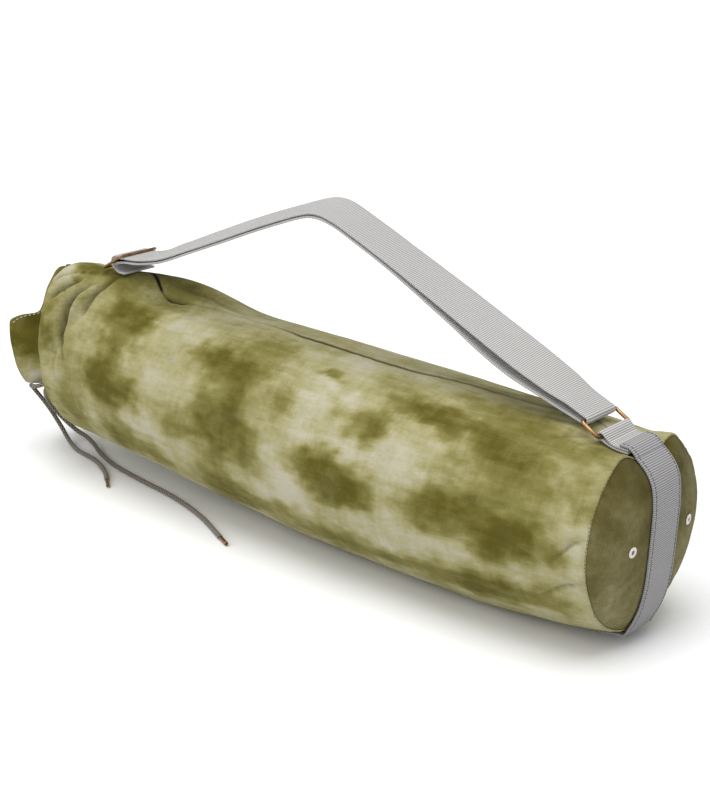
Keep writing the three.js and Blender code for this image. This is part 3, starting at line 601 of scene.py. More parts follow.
# Meshes
def skin(
    name, lines, material, node, wrap_lines=False, caps=False, flat=None, values=None, late=False
):
    """A piece with a quad between each four neighbouring points of its lines, in millimetres.

    flat gives each point's place on the flat piece, and values are numbers for each point, by name. A late
    piece is declared after more work on it.
    """
    count = len(lines[0])
    spans = len(lines) if wrap_lines else len(lines) - 1
    faces = []
    corners = []
    for i in range(spans):
        for j in range(count):
            cell = [(i, j), (i, j + 1), (i + 1, j + 1), (i + 1, j)]
            faces.append([(p % len(lines)) * count + q % count for p, q in cell])
            corners.extend(cell)
    if caps:
        last = len(lines) - 1
        faces.append(list(reversed(range(count))))
        faces.append([last * count + j for j in range(count)])
        corners.extend((0, j) for j in reversed(range(count)))
        corners.extend((last, j) for j in range(count))
    mesh = bpy.data.meshes.new(name)
    mesh.from_pydata([Vector(p) * MM for line in lines for p in line], [], faces)
    mesh.shade_smooth()
    if flat:
        layer = mesh.uv_layers.new(name="flat")
        for loop, (i, j) in enumerate(corners):
            u, v = flat(i, j)
            layer.data[loop].uv = (u * MM, v * MM)
    for key, grid in (values or {}).items():
        numbers = mesh.attributes.new(key, "FLOAT", "POINT")
        numbers.data.foreach_set("value", [number for line in grid for number in line])
    if inside_out(mesh):
        mesh.flip_normals()
    mesh.materials.append(material)
    piece = placed(name, mesh)
    return piece if late else declared(piece, node)


def inside_out(mesh):
    """Whether the faces of a closed mesh point inwards."""
    volume = 0.0
    for face in mesh.polygons:
        points = [mesh.vertices[i].co for i in face.vertices]
        for second, third in zip(points[1:], points[2:]):
            volume += points[0].dot(second.cross(third))
    return volume < 0


def declared(piece, node):
    """The finished piece rides on the bag, and stands for its solid."""
    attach(piece, "root")
    if node:
        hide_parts(node)
    return piece


def spaced(points, step):
    """Points an even step apart along a line of close points."""
    lengths = [0.0]
    for a, b in zip(points, points[1:]):
        lengths.append(lengths[-1] + (b - a).length)
    count = max(2, round(lengths[-1] / step))
    result = []
    k = 0
    for i in range(count + 1):
        at = lengths[-1] * i / count
        while k < len(points) - 2 and lengths[k + 1] < at:
            k += 1
        share = (at - lengths[k]) / max(lengths[k + 1] - lengths[k], 1e-9)
        result.append(points[k].lerp(points[k + 1], min(1.0, share)))
    return result


def smooth_route(points, step):
    """Evenly spaced points on the smooth curve through the given points."""
    through = [Vector(p) for p in points]
    through = [2 * through[0] - through[1], *through, 2 * through[-1] - through[-2]]
    close = []
    for a, b, c, d in zip(through, through[1:], through[2:], through[3:]):
        before, here, after = (math.sqrt((q - p).length) for p, q in ((a, b), (b, c), (c, d)))
        start = ((b - a) / before - (c - a) / (before + here) + (c - b) / here) * here
        end = ((c - b) / here - (d - b) / (here + after) + (d - c) / after) * here
        for i in range(24):
            t = i / 24
            close.append(
                b * (2 * t**3 - 3 * t**2 + 1) + start * (t**3 - 2 * t**2 + t)
                + c * (3 * t**2 - 2 * t**3) + end * (t**3 - t**2)
            )
    close.append(through[-2])
    return spaced(close, step)


def length_of(points):
    return sum((b - a).length for a, b in zip(points, points[1:]))


def run_at(path, i, closed=False):
    """Direction of a path at one of its points."""
    count = len(path)
    after = path[(i + 1) % count] if closed else path[min(count - 1, i + 1)]
    before = path[i - 1] if closed else path[max(0, i - 1)]
    return (after - before).normalized()


def circle(middle, radius, side, up, count):
    """Points round a circle in the plane of two directions."""
    turns = [360 * j / count for j in range(count)]
    return [middle + radius * (side * cos(turn) + up * sin(turn)) for turn in turns]


def turned(middle, axis, profile, sides):
    """Rings of points round an axis: the profile has a radius and a rise along the axis for each."""
    side = axis.orthogonal().normalized()
    up = axis.cross(side)
    return [circle(middle + axis * rise, radius, side, up, sides) for radius, rise in profile]


def round_lines(path, radius, sides, closed=False):
    """Rings of points round a path."""
    side = Vector((0, 0, 1))
    lines = []
    for i, point in enumerate(path):
        run = run_at(path, i, closed)
        side = side - run * side.dot(run)
        if side.length < PARALLEL:
            side = run.orthogonal()
        side.normalize()
        lines.append(circle(point, radius, side, run.cross(side), sides))
    return lines


def tube(name, path, radius, sides, material, node, closed=False):
    """A round piece along a path, open at its ends or joined to itself."""
    lines = round_lines(path, radius, sides, closed)
    step = length_of(path) / (len(path) - 1)
    girth = 2 * math.pi * radius
    return skin(
        name, lines, material, node, wrap_lines=closed, caps=not closed,
        flat=lambda i, j: (step * i, girth * j / sides),
    )


# Loose cord tails, which set how far the piece reaches
TAIL_A = (
    (-310.5, -47, 76), (-317, -51.8, 72), (-327, -53, 69.5), (-338, -46.5, 66.5), (-346, -37.5, 58.5),
    (-341, -27, 40), (-330, -20, 18), (-320.5, -19.5, 6.5), (-309, -23, 2.8), (-292, -29, 2.6),
    (-257.5, -35.5, 2.6), (-224, -50.5, 2.6), (-209, -61, 2.6),
)
TAIL_B = (
    (-309.6, -42.4, 70.2), (-313.6, -44.4, 69.3), (-318.6, -43.8, 64.8), (-324.4, -39.4, 56.6),
    (-330, -31, 44.5), (-326.5, -20.5, 28.5), (-314, -12.5, 14.5), (-303, -9.5, 9.5), (-289, -11.5, 5.6),
    (-272, -18, 2.9), (-238, -30, 2.6), (-187, -39.5, 2.6), (-130, -47.5, 2.6), (-78, -61.5, 2.6),
    (-30, -82, 2.6),
)


def loop_point(angle):
    """A point of the drawcord's middle line inside its channel."""
    return Vector(neck_point(THROAT_MIDDLE, angle, -(CORD_PLAY + CORD_DIAMETER / 2)))


def aglet(name, node, end, direction):
    """A rolled metal tip: crimped on the cord at one end, open at the other."""
    outside = AGLET_DIAMETER / 2
    bore = outside - AGLET_WALL
    profile = [
        (0.0, outside * 0.86), (0.06, outside), (0.2, outside), (0.25, outside * 0.9), (0.3, outside),
        (0.94, outside * 0.97), (1.0, outside * 0.9), (1.0, bore), (0.9, bore), (0.88, 0.05),
    ]
    rings = [(radius, GAP + AGLET_LENGTH * way) for way, radius in profile]
    return skin(name, turned(end, direction, rings, 24), COPPER, node, caps=True)


def cord_tail(letter, points, angle, side):
    """A loose tail from the loop's end, with its metal tip; side is the way the loop runs out."""
    end = loop_point(angle)
    direction = (end - loop_point(angle - 4 * side)).normalized()
    start = [end + direction * GAP, end + direction * CORD_DIAMETER]
    path = smooth_route([*start, *points], CORD_STEP)
    tail = tube(f"cord_{letter}", path, CORD_DIAMETER / 2, CORD_SIDES, CORD, f"cord_tail_{letter}")
    tip = aglet(f"tip_{letter}", f"aglet_{letter}", path[-1], (path[-1] - path[-3]).normalized())
    tuple(path[0] * MM)
    length_of(path) * MM
    [tuple(p * MM) for p in path]


cord_tail("a", TAIL_A, OPENING_ANGLE - CHANNEL_OPENING / 2, 1)
cord_tail("b", TAIL_B, OPENING_ANGLE + CHANNEL_OPENING / 2, -1)


# Cloth body
# Where the long seam runs on the top, and how dark its line shows; the line is a dark seam, and its darkest,
# widest stretch near the mouth end is painted shadow of the seam's overlapping edge
SEAM = rows(
    "along angle line",
    (-0.05, 80, 0.0), (0.08, 82, 0.2), (0.1, 85, 1.3), (0.133, 90, 1.6), (0.15, 93, 1.2), (0.16, 94, 0.2),
    (0.168, 94.5, 0.7), (0.195, 94.5, 1.2), (0.215, 94, 0.2), (0.25, 93, 0.1), (0.34, 91, 0.15),
    (0.4, 92, 0.4), (0.45, 94, 0.9), (0.64, 95, 0.8), (0.75, 89, 0.6), (0.83, 88, 0.5), (1.0, 88, 0.5),
)
# Creases of the body: depth and width in millimetres, path in shares of the length and degrees
CREASES = rows(
    "depth width path",
    (6.0, 2.6, (
        (0.062, 108), (0.054, 112), (0.034, 122), (0.027, 130), (0.024, 140), (0.021, 148), (0.03, 158),
        (0.048, 166),
    )),
    (5.0, 2.4, ((0.1, 93), (0.08, 102), (0.071, 110), (0.062, 116), (0.054, 124), (0.049, 132))),
    (-2.4, 3.2, ((0.05, 102), (0.055, 112), (0.043, 123), (0.034, 134), (0.03, 144), (0.036, 158))),
    (6.5, 2.7, ((-0.006, 129), (0.002, 125), (0.013, 120), (0.025, 114), (0.03, 112))),
    (-1.6, 1.8, ((-0.004, 134), (0.008, 127), (0.022, 119), (0.036, 112))),
    (3.4, 1.1, ((-0.02, 126), (-0.011, 118), (-0.003, 114), (0.008, 110), (0.033, 106), (0.047, 103.5))),
    (-1.8, 3.0, ((0.0, 138), (0.004, 150), (0.012, 172), (0.03, 198))),
    (1.6, 3.0, ((0.004, 140), (0.01, 156), (0.02, 176), (0.04, 196))),
    (3.6, 1.5, ((0.163, 94), (0.178, 94), (0.192, 94), (0.212, 94.5))),
    (1.3, 1.6, ((0.165, 97), (0.24, 101), (0.33, 100), (0.4, 102))),
    (1.1, 1.8, ((0.19, 103), (0.27, 107), (0.36, 105))),
    (1.2, 1.5, ((0.28, 96), (0.36, 97), (0.45, 100))),
    (1.0, 2.0, ((0.17, 112), (0.22, 118), (0.3, 120))),
    (0.9, 1.6, ((0.46, 103), (0.53, 106), (0.6, 104))),
    (0.9, 1.6, ((0.57, 110), (0.64, 112), (0.7, 110))),
    (0.9, 1.8, ((0.7, 126), (0.78, 127), (0.84, 124))),
    (0.8, 1.8, ((0.33, 142), (0.39, 147), (0.45, 146))),
    (0.8, 1.8, ((0.62, 166), (0.7, 168), (0.78, 165))),
    (0.8, 1.8, ((0.84, 158), (0.9, 160), (0.96, 157))),
    (-0.8, 2.4, ((0.3, 112), (0.38, 114), (0.46, 111))),
    (-0.8, 2.4, ((0.72, 156), (0.8, 158), (0.88, 154))),
    (-2.2, 3.4, ((0.115, 83), (0.145, 87), (0.175, 90), (0.2, 90.5))),
    (2.2, 2.6, ((0.16, 84), (0.185, 82), (0.215, 82))),
    (2.0, 2.4, ((0.15, 88), (0.18, 86), (0.23, 85), (0.28, 86), (0.33, 89))),
    (-1.4, 3.0, ((0.17, 90.5), (0.22, 90), (0.28, 90.5), (0.34, 92))),
    (2.6, 2.4, ((0.945, 101), (0.928, 106), (0.905, 111), (0.89, 113))),
    (1.8, 2.2, ((0.93, 97), (0.89, 99), (0.84, 99))),
    (1.5, 2.2, ((0.92, 92), (0.87, 93), (0.82, 93))),
    (-1.2, 2.4, ((0.945, 106), (0.92, 112), (0.89, 118))),
    (-0.9, 1.8, ((0.82, 117), (0.86, 120), (0.9, 122), (0.945, 122))),
    (-0.8, 1.8, ((0.82, 147), (0.86, 151), (0.91, 154))),
    (2.7, 2.0, ((1.0, 167), (0.982, 170), (0.966, 177), (0.95, 184))),
    (2.6, 1.8, ((1.0, 192), (0.968, 197), (0.934, 205))),
    (-1.2, 3.0, ((1.0, 162), (0.978, 165), (0.958, 172))),
    (-1.2, 3.0, ((1.0, 187), (0.968, 191), (0.94, 198))),
    (1.6, 2.0, ((1.0, 128), (0.985, 126), (0.965, 121))),
    (1.4, 1.8, ((1.0, 140), (0.99, 139), (0.975, 136))),
    (1.4, 1.8, ((1.0, 152), (0.988, 152), (0.972, 155))),
    (1.0, 2.2, ((0.84, 191), (0.89, 192), (0.94, 194), (0.99, 194))),
    (1.2, 2.2, ((0.64, 98), (0.67, 101), (0.7, 106))),
    (0.9, 2.4, ((0.66, 148), (0.69, 153), (0.72, 158))),
    (0.8, 2.2, ((0.47, 138), (0.5, 146), (0.54, 150))),
    (0.9, 2.0, ((0.43, 122), (0.47, 123), (0.52, 122))),
    (1.0, 2.4, ((0.22, 130), (0.27, 140), (0.33, 144))),
    (1.0, 2.6, ((0.4, 104), (0.44, 100), (0.48, 96))),
    (1.0, 4.0, ((0.12, 190), (0.2, 196), (0.28, 194))),
    (1.4, 3.4, ((0.02, 215), (0.05, 208), (0.1, 205))),
    (1.5, 4.0, ((0.98, 60), (0.93, 66), (0.87, 64))),
    (1.6, 3.5, ((0.98, 20), (0.94, 14), (0.88, 12))),
    (2.4, 4.0, ((0.02, 40), (0.06, 48), (0.12, 52))),
    (2.4, 4.0, ((0.02, 10), (0.06, 6), (0.12, 8))),
    (1.4, 4.0, ((0.98, 330), (0.94, 334), (0.88, 330))),
    (2.0, 4.0, ((0.02, 330), (0.06, 326), (0.12, 328))),
    (2.0, 4.0, ((0.01, 245), (0.04, 240), (0.09, 238))),
)
# Creases of the base, in millimetres across and up from its middle
BASE_CREASES = rows(
    "depth width path",
    (1.7, 2.8, ((-36, 46), (-40, 30), (-48, 11), (-57, -15))),
    (1.7, 2.4, ((-40, -16), (-46, -24), (-58, -33), (-66, -42))),
    (1.3, 2.4, ((-33, -26), (-42, -36), (-50, -44), (-56, -54))),
    (1.1, 3.4, ((-30, 60), (-38, 50), (-52, 42))),
    (-1.0, 3.0, ((-42, 46), (-48, 28), (-56, 8))),
    (1.4, 3.0, ((34, 48), (44, 26), (46, 2), (40, -24))),
    (1.2, 3.0, ((30, -40), (40, -50), (46, -60))),
)
# Dye patches: length in shares of the bag's length and width in degrees; a negative strength makes cloth
# pale. The narrow dark rows at along 0.012, 0.036 and 0.056 are painted shade in the hollow under the mouth's
# rim, and the pale row at along -0.014 lightens the rim's turn
PATCHES = rows(
    "along angle length width strength",
    (0.395, 131, 0.045, 8, 0.9), (0.44, 112, 0.03, 6, 0.5), (0.352, 128, 0.03, 6, 0.5),
    (0.425, 174, 0.035, 12, 0.85), (0.36, 172, 0.035, 6, 0.5), (0.4, 155, 0.028, 14, 0.5),
    (0.388, 210, 0.035, 11, 0.8), (0.558, 118, 0.012, 2, 0.8), (0.65, 140, 0.025, 6, 0.85),
    (0.612, 133, 0.028, 3, 0.45), (0.612, 173, 0.036, 7, 1.1), (0.643, 181, 0.026, 4, 0.8),
    (0.588, 165, 0.03, 4, 0.5), (0.55, 172, 0.02, 4, 0.4), (0.705, 120, 0.05, 4, 0.55),
    (0.5, 144, 0.02, 8, 0.3), (0.44, 215, 0.03, 6, 0.5), (0.72, 212, 0.05, 5, 0.5),
    (0.785, 170, 0.03, 8, 0.4), (0.872, 136, 0.038, 10, 0.85), (0.84, 128, 0.035, 8, 0.5),
    (0.875, 169, 0.04, 8, 0.95), (0.82, 164, 0.038, 7, 0.55), (0.885, 180, 0.03, 6, 0.8),
    (0.762, 176, 0.025, 7, 0.45), (0.858, 210, 0.06, 6, 0.85), (0.775, 122, 0.045, 5, 0.6),
    (0.908, 115, 0.03, 5, 0.45), (0.858, 107, 0.035, 7, 0.5), (0.97, 141, 0.012, 6, 0.35),
    (0.983, 153, 0.01, 5, 0.35), (0.957, 182, 0.012, 4, 0.4), (0.138, 119, 0.026, 8, 0.95),
    (0.156, 139, 0.022, 8, 0.75), (0.158, 168, 0.035, 9, 1.0), (0.13, 160, 0.02, 6, 0.5),
    (0.158, 210, 0.03, 9, 0.75), (0.2, 106, 0.03, 5, 0.35), (0.3, 176, 0.03, 8, 0.3),
    (0.62, 213, 0.05, 7, 0.65), (0.52, 212, 0.03, 7, 0.35), (0.24, 209, 0.03, 8, 0.4),
    (0.05, 205, 0.03, 12, 0.45), (0.06, 160, 0.02, 20, 0.2), (0.95, 210, 0.03, 8, 0.3),
    (0.588, 131, 0.045, 8, -0.5), (0.629, 154, 0.04, 9, -0.5), (0.512, 180, 0.03, 9, -0.5),
    (0.733, 149, 0.04, 11, -0.45), (0.275, 120, 0.025, 8, -0.3), (0.562, 105, 0.05, 6, -0.4),
    (0.767, 134, 0.025, 4, -0.35), (0.754, 188, 0.03, 8, -0.45), (0.935, 132, 0.025, 9, -0.3),
    (0.97, 164, 0.02, 10, -0.2), (0.93, 196, 0.03, 8, -0.35), (0.221, 120, 0.022, 7, -0.3),
    (0.254, 154, 0.03, 9, -0.1), (0.246, 188, 0.03, 10, -0.5), (0.317, 164, 0.028, 7, -0.35),
    (0.075, 114, 0.014, 5, -0.3), (0.47, 196, 0.03, 8, -0.45), (0.54, 152, 0.03, 10, -0.4),
    (0.67, 196, 0.03, 10, -0.45), (0.55, 194, 0.025, 6, -0.3), (0.04, 130, 0.02, 22, -0.2),
    (0.7, 105, 0.04, 5, -0.35), (0.48, 124, 0.03, 6, -0.3), (0.1, 40, 0.05, 18, 0.6),
    (0.15, 72, 0.05, 10, 0.5), (0.3, 60, 0.05, 14, 0.45), (0.3, 10, 0.06, 15, 0.8), (0.5, 40, 0.05, 14, 0.75),
    (0.5, 330, 0.06, 15, 0.8), (0.7, 15, 0.06, 16, 0.8), (0.8, 60, 0.05, 12, 0.6), (0.86, 340, 0.05, 14, 0.8),
    (0.15, 320, 0.05, 16, 0.7), (0.35, 300, 0.05, 15, 0.7), (0.65, 290, 0.06, 14, 0.7),
    (0.9, 20, 0.04, 15, 0.6), (0.2, 0, 0.04, 14, 0.6), (0.4, 20, 0.05, 14, -0.4), (0.6, 60, 0.05, 12, -0.4),
    (0.6, 340, 0.05, 12, -0.4), (0.2, 60, 0.04, 12, -0.3), (0.75, 320, 0.05, 14, -0.4),
    (0.3, 330, 0.04, 12, -0.4), (0.055, 108, 0.04, 12, 0.3), (0.11, 96, 0.05, 8, 0.4),
    (0.2, 86, 0.06, 7, 0.4), (0.03, 150, 0.03, 20, 0.12), (0.955, 122, 0.02, 8, 0.35),
    (0.93, 150, 0.018, 8, 0.3), (0.15, 122, 0.03, 7, 0.8), (0.145, 172, 0.04, 8, 0.8),
    (0.97, 106, 0.02, 6, 0.35), (0.66, 108, 0.05, 4, 0.3), (0.78, 104, 0.04, 4, 0.35),
    # Painted shade in the hollow under the rim: the narrow rows at along 0.012, 0.036 and 0.056
    (0.47, 160, 0.025, 8, -0.25), (0.012, 103, 0.016, 4, 0.9), (0.036, 99, 0.02, 4, 1.0),
    (0.056, 95, 0.016, 4, 0.7), (-0.014, 111, 0.012, 6, -0.7), (-0.1, 148, 0.05, 20, 1.2),
    (-0.083, 160, 0.02, 10, 0.5), (-0.09, 203, 0.03, 8, -0.5), (-0.001, 147, 0.008, 9, 0.6),
    (-0.02, 197, 0.012, 7, 0.8), (-0.11, 75, 0.04, 26, 0.8), (-0.1, 20, 0.04, 22, 0.5),
    (-0.1, 260, 0.04, 26, 0.6),
)
PLAIN_DYE = 0.36


def ripple(x, y, z=0.0):
    """Smooth noise between about -1 and 1."""
    return noise.noise(Vector((x, y, z)))


def from_segment(point, start, end):
    """Distance from a point to a straight stretch, and the share of the stretch where it is nearest."""
    run = (end[0] - start[0], end[1] - start[1])
    rel = (point[0] - start[0], point[1] - start[1])
    share = (rel[0] * run[0] + rel[1] * run[1]) / (run[0] ** 2 + run[1] ** 2)
    share = max(0.0, min(1.0, share))
    return math.hypot(rel[0] - share * run[0], rel[1] - share * run[1]), share


def crease_at(creases, x, y):
    """Depth in millimetres of all the creases at a place on the flat cloth."""
    depth = 0.0
    for crease in creases:
        reach = 3 * crease["width"]
        low, high = crease["box"]
        if low[0] - reach < x < high[0] + reach and low[1] - reach < y < high[1] + reach:
            spans = list(zip(crease["points"], crease["points"][1:]))
            near = [(*from_segment((x, y), *span), i) for i, span in enumerate(spans)]
            distance, share, i = min(near)
            way = (i + share) / len(spans)
            depth += crease["depth"] * max(0.0, sin(180 * way)) ** 0.6 * bell(distance, crease["width"])
    return depth


def laid_out(creases, scale):
    """Creases with their paths in millimetres on the flat cloth."""
    done = []
    for crease in creases:
        points = [(a * scale[0], b * scale[1]) for a, b in crease["path"]]
        low = (min(p[0] for p in points), min(p[1] for p in points))
        high = (max(p[0] for p in points), max(p[1] for p in points))
        done.append({**crease, "points": points, "box": (low, high)})
    return done


BODY_CREASES = laid_out(CREASES, (BAG_LENGTH, MM_PER_DEGREE))
BASE_FOLDS = laid_out(BASE_CREASES, (1, 1))


def dye_at(along, angle):
    """How dark the dye is at a place of the body cloth."""
    x, y = along * BAG_LENGTH, angle * MM_PER_DEGREE
    a = along + 0.014 * ripple(x / 40, y / 40) + 0.016 * ripple(x / 16, y / 12, 7)
    a += 0.012 * ripple(x / 9, y / 6, 9)
    b = angle + 5 * ripple(x / 40, y / 40, 3) + 5 * ripple(x / 18, y / 12, 11) + 4 * ripple(x / 10, y / 6, 15)
    level = PLAIN_DYE + 0.14 * ripple(x / 60, y / 90, 20) + 0.12 * ripple(x / 25, y / 45, 24)
    dark = pale = 0.0
    for patch in PATCHES:
        if abs(a - patch["along"]) < 3 * patch["length"]:
            run = (a - patch["along"]) / patch["length"]
            across = turn_between(b, patch["angle"]) / patch["width"]
            share = patch["strength"] * bell(math.hypot(run, across), 1.45, 2.4)
            dark += max(share, 0.0)
            pale += max(-share, 0.0)
    return level + 0.98 * (1 - math.exp(-1.35 * dark)) - 0.52 * (1 - math.exp(-1.6 * pale))


def seam_relief(away):
    """Height of the felled seam at a distance across it; the raised flap is on the far side."""
    flap = 0.0
    if away < 0:
        flap = FLAP_HEIGHT * bell(min(0, away + FLAP_WIDTH), 1.5)
    return flap - FLAP_HEIGHT * bell(away, 0.7)


def under_webbing(along, angle):
    """1 where a band lies on the cloth, and 0 away from it."""
    top = bell(turn_between(angle, 90), 17, 6)
    bottom = bell(turn_between(angle, 270), 17, 6)
    at_base = 1 - bell(max(0, along - 0.9), 0.035, 4)
    at_slider = bell(along - 0.09, 0.045, 6)
    return max(top * max(at_base, at_slider), bottom * at_base)


def cloth_relief(along, angle, away):
    """Millimetres that the cloth stands out, with creases, puckers and long seam, and a crease's depth, which
    sets the painted shade in the crease.
    """
    x, y = along * BAG_LENGTH, angle * MM_PER_DEGREE
    crease = crease_at(BODY_CREASES, x, y)
    height = seam_relief(away) - crease
    height += 0.9 * ripple(x / 70, y / 45) + 0.35 * ripple(x / 24, y / 12, 5)
    height += 0.5 * bell(away, 9) * ripple(x / 7, away / 12, 9)
    height += 0.8 * bell(along - 1, 0.03) * ripple(x / 20, y / 5.5, 13)
    height += 0.7 * bell(along, 0.04) * ripple(x / 16, y / 7, 17)
    covered = under_webbing(along, angle)
    return height * (1 - covered) - 0.15 * covered, max(0.0, crease)


def cloth_rows():
    """The rows of the tube, neck and free collar.

    Each is a function of angle and inset, with how far the edge rolls in. They lie closer near both ends.
    """
    fine, coarse = 0.0033, 0.0069
    stations = [fine * i for i in range(37)] + [0.122 + coarse * i for i in range(113)]
    stations += [0.9016 + fine * i for i in range(29)]
    body = [(1.0, 1.3), (0.999, 0.55), (0.9975, 0.2)] + [(along, 0.0) for along in reversed(stations)]
    result = [(lambda angle, inset, a=along: body_point(a, angle, inset), roll) for along, roll in body]
    necks = [i / 24 for i in range(1, 25)]
    result += [(lambda angle, inset, o=out: neck_point(o, angle, inset), 0.0) for out in necks]
    collars = [i / 18 for i in range(1, 19)]
    return result + [(lambda angle, inset, r=reach: collar_point(r, angle, inset), 0.0) for reach in collars]


def body_cloth():
    """The tube, its tented top, the neck and the free collar, as one wall of canvas.

    Its columns lie closest beside the long seam.
    """
    fine = [-1.6, -0.9, -0.45, -0.15, 0.15, 0.45, 0.9, 1.6]
    offsets = fine + [3.4 + 2.0 * i for i in range(177)]
    outside, inside, dye, seam, fold, run = [], [], [], [], [], []
    for place, roll in cloth_rows():
        middle_along = (place(90, 0)[0] - MOUTH_X) / BAG_LENGTH
        seam_angle = from_table(SEAM, middle_along, "angle")
        seam_line = from_table(SEAM, middle_along, "line")
        columns = []
        for offset in offsets:
            angle = (seam_angle + offset) % 360
            away = turn_between(offset, 0) * MM_PER_DEGREE
            along = (place(angle, 0)[0] - MOUTH_X) / BAG_LENGTH
            height, crease = cloth_relief(along, angle, away)
            relief = height - roll
            hidden = relief if along < 0.985 else max(relief, -0.3)
            x, y, z = place(angle, -relief)
            u, v, w = place(angle, CLOTH - hidden)
            outer, inner = (x, y, max(z, 0.0)), (u, v, max(w, CLOTH))
            # The seam line widens where it is darker, for the painted shadow near the mouth end
            line = seam_line * bell(away, 0.6 + 0.5 * seam_line, 3)
            # Painted shade for the crease, from its depth
            shade = min(1.0, crease / FULL_SHADE_CREASE_DEPTH) ** 1.4
            columns.append((outer, inner, dye_at(along, angle), line, shade, along * BAG_LENGTH))
        parts = [list(column) for column in zip(*columns)]
        for whole, part in zip((outside, inside, dye, seam, fold, run), parts):
            whole.append(part)
    total = len(outside)
    order = list(range(total)) + list(reversed(range(total)))

    def flat(i, j):
        turn = j // len(offsets)
        row = order[i % (2 * total)]
        return run[row][j % len(offsets)], (offsets[j % len(offsets)] + 360 * turn) * MM_PER_DEGREE

    # The fold values carry the painted crease shade
    skin(
        "body_cloth", outside + inside[::-1], CANVAS, "body_panel", wrap_lines=True, flat=flat,
        values={"dye": dye + dye[::-1], "seam": seam + seam[::-1], "fold": fold + fold[::-1]},
    )


body_cloth()


# Cloth base
def base_point(way, angle, inset=0.0):
    """A point of the domed base, from its middle at way 0 to its rim at way 1."""
    edge = body_point(1, angle, CLOTH + SEAM_GAP)
    centre = centre_height(1)
    lean = BASE_LEAN * way * (edge[2] - centre) / BAG_RADIUS
    x = BASE_X + (BASE_BULGE + lean) * (1 - way**4) - inset
    return Vector((x, edge[1] * way, centre + (edge[2] - centre) * way))


def base_normal(way, angle):
    """Outward direction of the base at a place."""
    run = base_point(way + 0.01, angle) - base_point(way - 0.01, angle)
    across = base_point(way, angle + 2) - base_point(way, angle - 2)
    normal = run.cross(across).normalized()
    return normal if normal.x > 0 else -normal


def base_relief(way, angle):
    """Millimetres that the base's cloth stands out, with the seam's puckers near its rim."""
    clear = 1 - bell(cos(angle) * way * BAG_RADIUS, 25, 6)
    pucker = 0.9 * bell(way - 0.97, 0.09) * ripple(angle / 3.6, way * 6, 31)
    sway = 0.9 * bell(way - 0.7, 0.3) * ripple(angle / 16, way * 3, 33)
    crease = crease_at(BASE_FOLDS, way * BAG_RADIUS * cos(angle), way * BAG_RADIUS * sin(angle))
    return (pucker + sway - crease) * (0.15 + 0.85 * clear)


def base_dye(way, angle):
    y, z = way * cos(angle), way * sin(angle)
    level = 0.5 + 0.28 * z + 0.22 * bell(abs(y) - 0.34, 0.12) + 0.14 * ripple(y * 3.5, z * 3.5, 41)
    return level + 0.15 * bell(way - 1, 0.1)


def base_cloth():
    angles = [2 * i for i in range(180)]
    ways = [0.012 + 0.988 * (i / 38) ** 0.9 for i in range(38)]
    hem = [BASE_HEM * share for share in (0.1, 0.5, 1.0)]
    rim = CLOTH + SEAM_GAP

    def dome(way, inset):
        return [base_point(way, a, inset - base_relief(way, a)) for a in angles]

    def tucked(back, inset):
        return [body_point(1 - back / BAG_LENGTH, a, inset) for a in angles]

    lines = [dome(way, 0) for way in ways] + [tucked(0.4, rim)] + [tucked(back, rim) for back in hem]
    levels = list(ways) + [1.0] * 4
    inner = [tucked(back, rim + CLOTH) for back in reversed(hem)] + [tucked(1.5, rim + CLOTH)]
    inner_ways = [way for way in reversed(ways) if way < 0.965]
    lines += inner + [dome(way, CLOTH) for way in inner_ways]
    levels += [1.0] * len(inner) + inner_ways
    dye = [[base_dye(way, a) for a in angles] for way in levels]

    def flat(i, j):
        way = levels[i] * BAG_RADIUS
        return way * cos(2 * j), way * sin(2 * j)

    cloth = skin(
        "base_cloth", lines, BASE_CANVAS, "base_panel", caps=True, flat=flat, values={"dye": dye},
        late=True,
    )
    for side in (-1, 1):
        point, normal = eyelet_seat(side)
        around = EYELET_HOLE / 2 + EYELET_METAL + GAP
        drill = round_lines([point - normal * DRILL_REACH, point + normal * DRILL_REACH], around, 32)
        cut_out(cloth, skin("eyelet_drill", drill, BASE_CANVAS, None, caps=True, late=True))
    return declared(cloth, "base_panel")


def cut_out(piece, drill):
    """Takes the drill's shape out of a piece, and the drill away."""
    cut = piece.modifiers.new("hole", "BOOLEAN")
    cut.operation = "DIFFERENCE"
    cut.solver = "EXACT"
    cut.object = drill
    whole = applied(piece)
    piece.modifiers.remove(cut)
    piece.data = whole
    bpy.data.objects.remove(drill)


def eyelet_seat(side):
    """Where an eyelet sits on the base, and the way it faces."""
    angle = 180 if side < 0 else 0
    way = EYELET_SPREAD / abs(base_point(1, angle).y)
    return base_point(way, angle), base_normal(way, angle)


def eyelet(name, side, node):
    """A pressed eyelet: a rounded flange outside, a washer inside and a barrel between."""
    point, normal = eyelet_seat(side)
    hole, barrel, flange = EYELET_HOLE / 2, EYELET_HOLE / 2 + EYELET_METAL, EYELET_FLANGE / 2
    below = -(CLOTH + 2 * GAP)
    profile = [
        (hole, below - 0.6), (flange * 0.83, below - 0.6), (flange * 0.85, below - 0.3),
        (flange * 0.83, below), (barrel, below), (barrel, GAP), (flange * 0.96, GAP), (flange, GAP + 0.2),
        (flange * 0.96, GAP + 0.5), (flange * 0.86, GAP + 0.72), (flange * 0.72, GAP + 0.86),
        (hole + 0.55, GAP + 0.9), (hole + 0.2, GAP + 0.72), (hole, GAP + 0.3),
    ]
    skin(name, turned(point, normal, profile, 36), ENAMEL, node, wrap_lines=True)


# Webbing
LAYER = WEB_THICK + GAP
REST = GAP + WEB_THICK / 2
EDGE_ROUND = 0.7
RIB_TOP = 0.1
RIB_DIP = -0.06
RIB_HALF = WEB_WIDTH / 2 + 0.5
